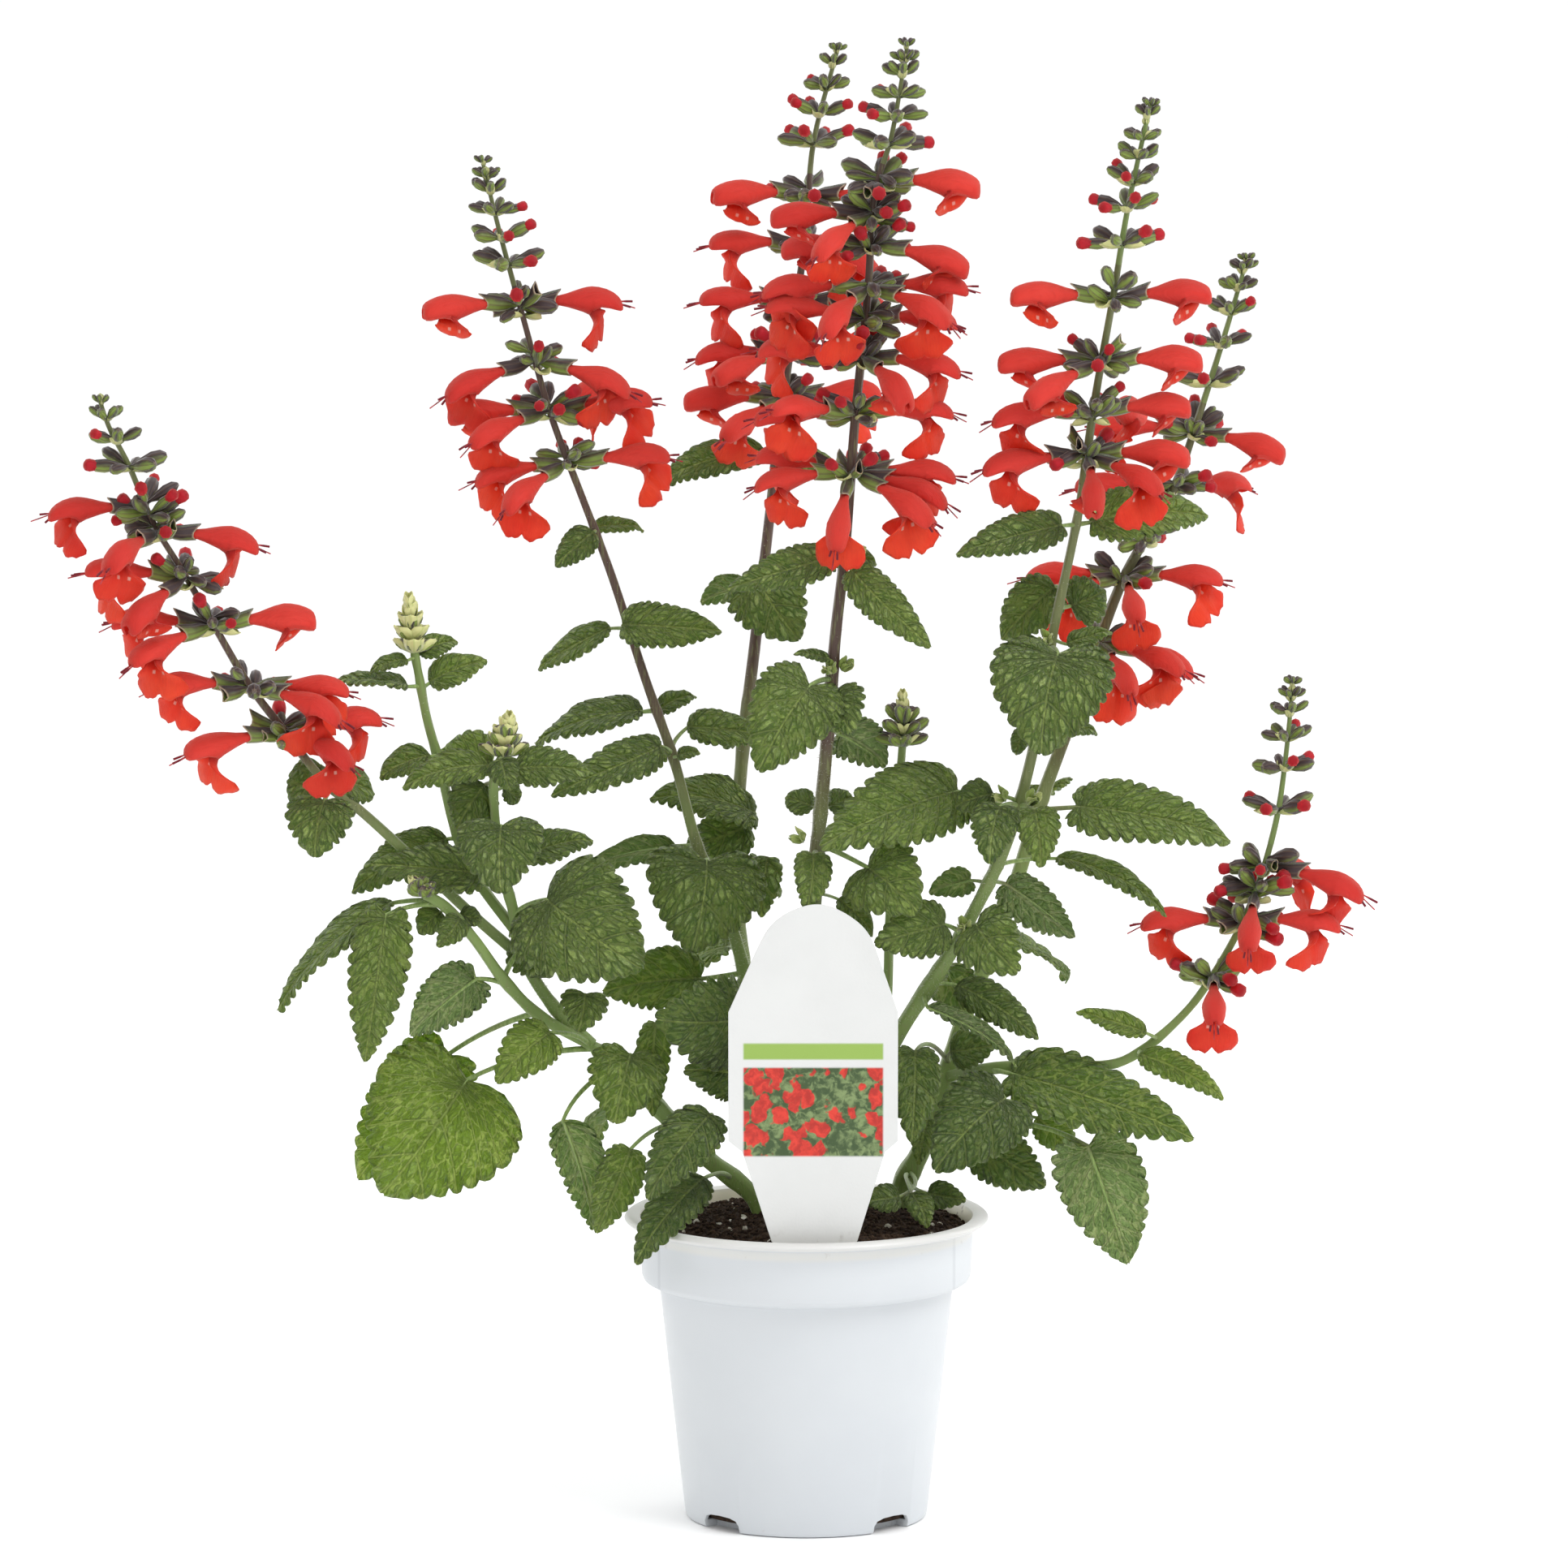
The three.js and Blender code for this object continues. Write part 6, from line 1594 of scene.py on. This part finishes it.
def potProfile():
    p = potLook
    collarTop = p["height"] - p["lipHeight"]
    return [
        (0.01, 0.0), (p["base"] - 3, 0.0), (p["base"] - p["round"], 0.0), (p["base"] - 0.4, 0.4),
        (p["base"], p["round"]), (p["base"] + 4, 37.0), (p["bodyTop"] - 0.1, p["collarFoot"] - 1.2),
        (p["bodyTop"] + 0.3, p["collarFoot"]), (p["collar"] - 1.8, p["collarFoot"] + 0.9),
        (p["collar"] - 0.6, p["collarFoot"] + 1.6), (p["collar"], p["collarFoot"] + 3),
        (p["collar"] + 0.4, 84.0), (p["collar"] + 0.7, collarTop - 0.9), (p["collar"] + 1.3, collarTop),
        (p["lip"] - 0.9, collarTop + 0.2), (p["lip"] - 0.2, collarTop + 0.9),
        (p["lip"], collarTop + p["lipHeight"] / 2), (p["lip"] - 0.3, p["height"] - 0.7),
        (p["lip"] - 1.1, p["height"] - 0.1), (p["collar"] + 2, p["height"]),
        (p["collar"] + 0.6, p["height"] - 0.6), (p["collar"] - 0.2, p["height"] - p["mouthDrop"]),
        (p["collar"] - 1.1, 88.0), (p["collar"] - p["wall"], p["collarFoot"] + 4),
        (p["bodyTop"] - p["wall"], p["collarFoot"] - 1), (p["base"] - p["wall"] + 0.3, p["floor"]),
        (0.01, p["floor"]),
    ]


def potMaterial():
    look, tree = newLook("whitePotPlastic")
    on = objectPlace(tree)
    x, y, z = on.parts()
    radius = calc(tree, "SQRT", calc(tree, "POWER", x, 2.0) + calc(tree, "POWER", y, 2.0))
    inside = radius.between(*potLook["mouthRadius"]) * z.between(0.089, 0.091)
    cloud = on.grain(16.0, 4.0)
    colour = cloud.between(0.35, 0.7).blend(potLook["white"], potLook["cloud"])
    # Painted shade: thin dark lines under the collar step and under the lip
    collarShade = abs(z - potLook["collarShadeRise"]).between(0.0, 0.0011, 0.16, 0.0)
    underLipShade = abs(z - potLook["underLipShade"]).between(0.0, 0.0013, 0.18, 0.0)
    front = y.between(-0.02, -0.01, 1.0, 0.0) * z.between(0.074, 0.076)
    mould = front * abs(abs(x) - potLook["mouldAcross"]).between(0.0, 0.0007, 0.34, 0.0)
    # One dark colour serves the painted shade lines and the real mould seams
    colour = collarShade.most(underLipShade).most(mould).blend(colour, potLook["shadeAndMouldLine"])
    # Painted light: the top of the lip is painted lighter
    colour = z.between(0.0928, 0.0942).blend(colour, potLook["rimTopLight"])
    # Painted light: the inner wall of the mouth is painted brighter and warmer than the outer plastic,
    # standing for light that shines through the wall
    colour = inside.blend(colour, potLook["innerWallGlow"])
    low = z.between(0.0, 0.004, 1.0, 0.0)
    dirt = on.grain(220.0, 5.0).between(0.60, 0.74) * (low * 0.35).most(inside * 0.9)
    colour = dirt.blend(colour, potLook["dirt"])
    turning = on.stretched(1.0, 1.0, 60.0).grain(12.0, 2.0)
    height = on.grain(900.0, 2.0) * 0.25 + turning * 0.2
    return dress(look, colour, height, 0.00006, Roughness=cloud.between(0.3, 0.7, 0.3, 0.42))


def turnedRings(profile, sides):
    return np.array([[(r * math.cos(a), r * math.sin(a), z) for a in circle(sides)] for r, z in profile])


def notchShape(store):  # the arches that are cut out of the pot's foot
    arch = potLook["arch"]
    for k in range(4):
        turn = math.pi / 4 + k * math.pi / 2
        rings = []
        for reach in (potLook["base"] - potLook["notchDepth"] / 2 - 3, potLook["base"] + 8.0):
            for across, up in arch:
                side = across * potLook["notchWidth"] / 2
                rings.append((reach * math.cos(turn) - side * math.sin(turn),
                              reach * math.sin(turn) + side * math.cos(turn), up * potLook["notchHeight"]))
        store.add(*closedRings(np.array(rings).reshape(2, len(arch), 3)))


rings = turnedRings(potProfile(), potLook["sides"])
cutter = shaped("notchCutter", notchShape, smooth=False)
pot = bevelled(shaped("pot_body", Gather.add, *closedRings(rings)), potLook["bevel"], cutter)
remove(cutter)
pot.data.shade_smooth()
pot.data.set_sharp_from_angle(angle=math.radians(42))
pot.data.materials.clear()
pot.data.materials.append(potMaterial())
settle(pot, "pot", "pot")
print("pot made")


# Soil
soilLook = {
    "edge": 91.5, "mound": 4.5, "rings": 26, "sides": 96, "rough": 0.9, "top": 49.6,
    "under": [(0.01, 2.8), (35.8, 2.8), (43.6, 72.4), (48.9, 78.4), (49.6, 89.5)], "tilt": 0.6,
    "crumb": {"shapes": 4, "seed": 20, "roundness": 0.3, "density": 3.4e5, "sizes": (0.7, 2.6), "order": 5},
    "fleck": {"shapes": 3, "seed": 40, "roundness": 0.6, "density": 0.8e4, "sizes": (1.1, 2.8), "order": 8},
    "dark": (0.018, 0.010, 0.007), "brown": (0.075, 0.045, 0.028),
    "fibre": (0.16, 0.10, 0.055), "fleckDull": (0.5, 0.46, 0.38), "fleckPale": (0.8, 0.78, 0.72),
}


def soilMaterial(name, dark, light, scale):
    look, tree = newLook(name)
    on = objectPlace(tree)
    lump = on.grain(scale, 5.0, 0.65)
    fibre = on.stretched(1.0, 4.0, 1.0).grain(scale * 1.6)
    colour = lump.between(0.35, 0.72).blend(dark, light)
    colour = fibre.between(0.64, 0.72, 0.0, 0.6).blend(colour, soilLook["fibre"])
    return dress(look, colour, lump, 0.0012, Roughness=0.95, Specular_IOR_Level=0.2)


def crumbShape(store, chance, roundness):
    turns = circle(6)
    rings = []
    for z, r in ((-0.8, 0.45), (-0.25, 0.95), (0.35, 0.9), (0.85, 0.4)):
        wobble = 1 + (1 - roundness) * chance.uniform(-0.5, 0.5, 6)
        ring = grid(r * wobble * np.cos(turns), r * wobble * np.sin(turns), z)
        rings.append(ring * chance.uniform(0.8, 1.15))
    store.add(*closedRings(np.array(rings) * 0.5))


p = soilLook
rings = list(turnedRings(p["under"], p["sides"]))
for k in range(p["rings"] + 1):
    radius = p["top"] * (1 - k / (p["rings"] + 0.4))
    height = p["edge"] + p["mound"] * (1 - (radius / p["top"]) ** 2)
    ring = []
    for a in circle(p["sides"]):
        x, y = radius * math.cos(a), radius * math.sin(a)
        bump = noise.fractal(Vector((x, y, 3.0)) * 0.16, 0.9, 2.1, 4)
        ring.append((x, y, height + p["rough"] * bump * min(1.0, 0.35 + k / 3)))
    rings.append(np.array(ring))
store = Gather()
points, faces = closedRings(np.array(rings))
store.add(points, faces, fuzz=(points[:, 2] > 89.0).astype(float))
soil = store.make("soil_mound")
soilDark = soilMaterial("compost", soilLook["dark"], soilLook["brown"], 420.0)
soil.data.materials.append(soilDark)


def strewn(kind, material):
    p = soilLook[kind]
    shapes = shapeSet(kind + "Shapes", [
        shaped("%s%d" % (kind, k), crumbShape, np.random.default_rng(p["seed"] + k), p["roundness"],
               smooth=p["roundness"] > 0.5) for k in range(p["shapes"])
    ])
    smallest, largest = p["sizes"]
    made = grow(newObject("soil_%ss" % kind, soil.data.copy()), strew, Shapes=shapes, Density=p["density"],
                Smallest=smallest, Largest=largest, Tilt=soilLook["tilt"], Seed=p["order"],
                Material=material)
    clearShapes(shapes)
    return made


crumbs = strewn("crumb", soilDark)
fleckPale = soilMaterial("paleFlecks", soilLook["fleckDull"], soilLook["fleckPale"], 500.0)
flecks = strewn("fleck", fleckPale)
for piece in (soil, crumbs, flecks):
    settle(piece, "soil", "soil")
print("soil made")


# Tag
tagLook = {
    "thick": 0.9, "depth": -45, "lean": 0.03, "bevel": 0.16,
    "dome": [
        (-24.4, 159), (-15, 180), (-11, 187), (-4, 191.5), (4, 193.5), (12, 190.5), (19, 185), (22, 178),
        (28.6, 159),
    ],
    "foot": [(28.6, 118.5), (24.6, 115), (16, 87), (6, 71), (-2, 71), (-11, 87), (-20, 115), (-24.4, 118.5)],
    "card": (0.74, 0.75, 0.74), "petals": (0.72, 0.045, 0.025), "ground": (0.045, 0.085, 0.025),
    "cardShade": (0.70, 0.71, 0.70), "paleGround": (0.22, 0.30, 0.12), "deepPetals": (0.45, 0.02, 0.012),
    "band": (0.30, 0.46, 0.09), "soiled": (0.13, 0.085, 0.05),
    "soiledRows": (0.090, 0.100), "columns": (-0.0195, 0.0235),
    "panelRows": (0.1215, 0.1490), "bandRows": (0.1515, 0.1565),
}


# Rounds the bends of the dome and leaves its two ends as they are
def softened(outline, times):
    points = [np.array(p, float) for p in outline]
    for _ in range(times):
        cut = [points[0]]
        for first, second in zip(points[:-1], points[1:]):
            cut += [first * 0.75 + second * 0.25, first * 0.25 + second * 0.75]
        points = cut[:1] + cut[2:-1] + [points[-1]]
    return points


def tagMaterial():
    look, tree = newLook("plantTagCard")
    on = objectPlace(tree)
    x, _, z = on.parts()

    def inBand(value, low, high, soft=0.0004):
        return value.between(low - soft, low + soft) * value.between(high - soft, high + soft, 1.0, 0.0)

    facing = wire(tree, "ShaderNodeNewGeometry", output="Normal").parts()[1]
    front = facing.between(-0.6, -0.4, 1.0, 0.0)
    cloud = on.grain(30.0)
    colour = cloud.between(0.3, 0.75).blend(tagLook["card"], tagLook["cardShade"])
    stirred = on.shifted(on.grain(260.0, 2.0, 0.5, "Color"), 0.006)
    shades = stirred.grain(420.0)
    ground = shades.between(0.4, 0.7).blend(tagLook["ground"], tagLook["paleGround"])
    bloom = shades.between(0.35, 0.7).blend(tagLook["deepPetals"], tagLook["petals"])
    wash = stirred.cells(170.0).between(0.42, 0.5).blend(bloom, ground)
    for rows, fill in ((tagLook["panelRows"], wash), (tagLook["bandRows"], tagLook["band"])):
        shape = inBand(x, *tagLook["columns"]) * inBand(z, *rows)
        colour = (shape * front).blend(colour, fill)
    soiled = on.grain(260.0, 4.0).between(0.56, 0.7) * z.between(*tagLook["soiledRows"], 0.7, 0.0)
    colour = soiled.blend(colour, tagLook["soiled"])
    return dress(look, colour, on.grain(1200.0, 2.0), 0.00004,
                 Roughness=cloud.between(0.3, 0.7, 0.28, 0.4))


flat = (softened(tagLook["dome"], 3) + [np.array(p, float) for p in tagLook["foot"]])[::-1]
points = []
for sign in (-1, 1):
    for across, rise in flat:
        point = place((across, rise, tagLook["depth"]))
        point[1] += (point[2] - potLook["height"]) * tagLook["lean"] + sign * tagLook["thick"] / 2
        points.append(point)
size = len(flat)
faces = [tuple(range(size)), tuple(range(2 * size - 1, size - 1, -1))]
faces += [(i, i + size, (i + 1) % size + size, (i + 1) % size) for i in range(size)]
tag = bevelled(shaped("tag_card", Gather.add, points, faces, smooth=False), tagLook["bevel"])
tag.data.materials.clear()
tag.data.materials.append(tagMaterial())
settle(tag, "tag", "tag")
print("tag made")
remove(stemRing, roundRing)


# Floor, light and camera
def floorMaterial():
    look, tree = newLook("paleFloor")
    colour = objectPlace(tree).grain(3.0, 2.0).blend(studio["floorDull"], studio["floorPale"])
    return dress(look, colour, Roughness=0.7, Specular_IOR_Level=0.1)


half = studio["floorSize"] / 2
corners = [(-half, -half, 0), (half, -half, 0), (half, half, 0), (-half, half, 0)]
floorMesh = bpy.data.meshes.new("studioFloor")
floorMesh.from_pydata(corners, [], [(0, 1, 2, 3)])
floorMesh.materials.append(floorMaterial())
floor = newObject("studioFloor", floorMesh)

world = bpy.data.worlds.new("studioAir")
world.use_nodes = True
air = world.node_tree
_, back, up = wire(air, "ShaderNodeTexCoord", output="Generated").parts()
front = back.between(-0.9, 0.0, studio["air"] + studio["airFront"], studio["air"])
behind = back.between(0.0, 0.9, 0.0, studio["airBehind"])
above = up.between(0.1, 0.95, 0.0, studio["airAbove"])
background = air.nodes["Background"].inputs
feed(air, background["Strength"], front + behind + above)
feed(air, background["Color"], (1.0, 1.0, 1.0))
bpy.context.scene.world = world

for name, (power, size, at) in studio["lamps"].items():
    lamp = bpy.data.lights.new(name, "AREA")
    lamp.shape = "RECTANGLE"
    lamp.energy = power
    lamp.size, lamp.size_y = size
    holder = newObject(name, lamp)
    holder.location = at
    way = Vector(studio["lampsToward"]) - Vector(at)
    holder.rotation_euler = way.to_track_quat("-Z", "Y").to_euler()
    holder.visible_camera = False

camera = newObject("photoCamera", bpy.data.cameras.new("photoCamera"))
camera.data.lens = studio["lens"]
camera.data.sensor_width = studio["sensor"]
camera.data.clip_end = 100.0
camera.location = eye * mm
camera.rotation_euler = (math.radians(90 - studio["pitch"]), 0.0, 0.0)
bpy.context.scene.camera = camera
bpy.context.scene.view_settings.view_transform = "Standard"
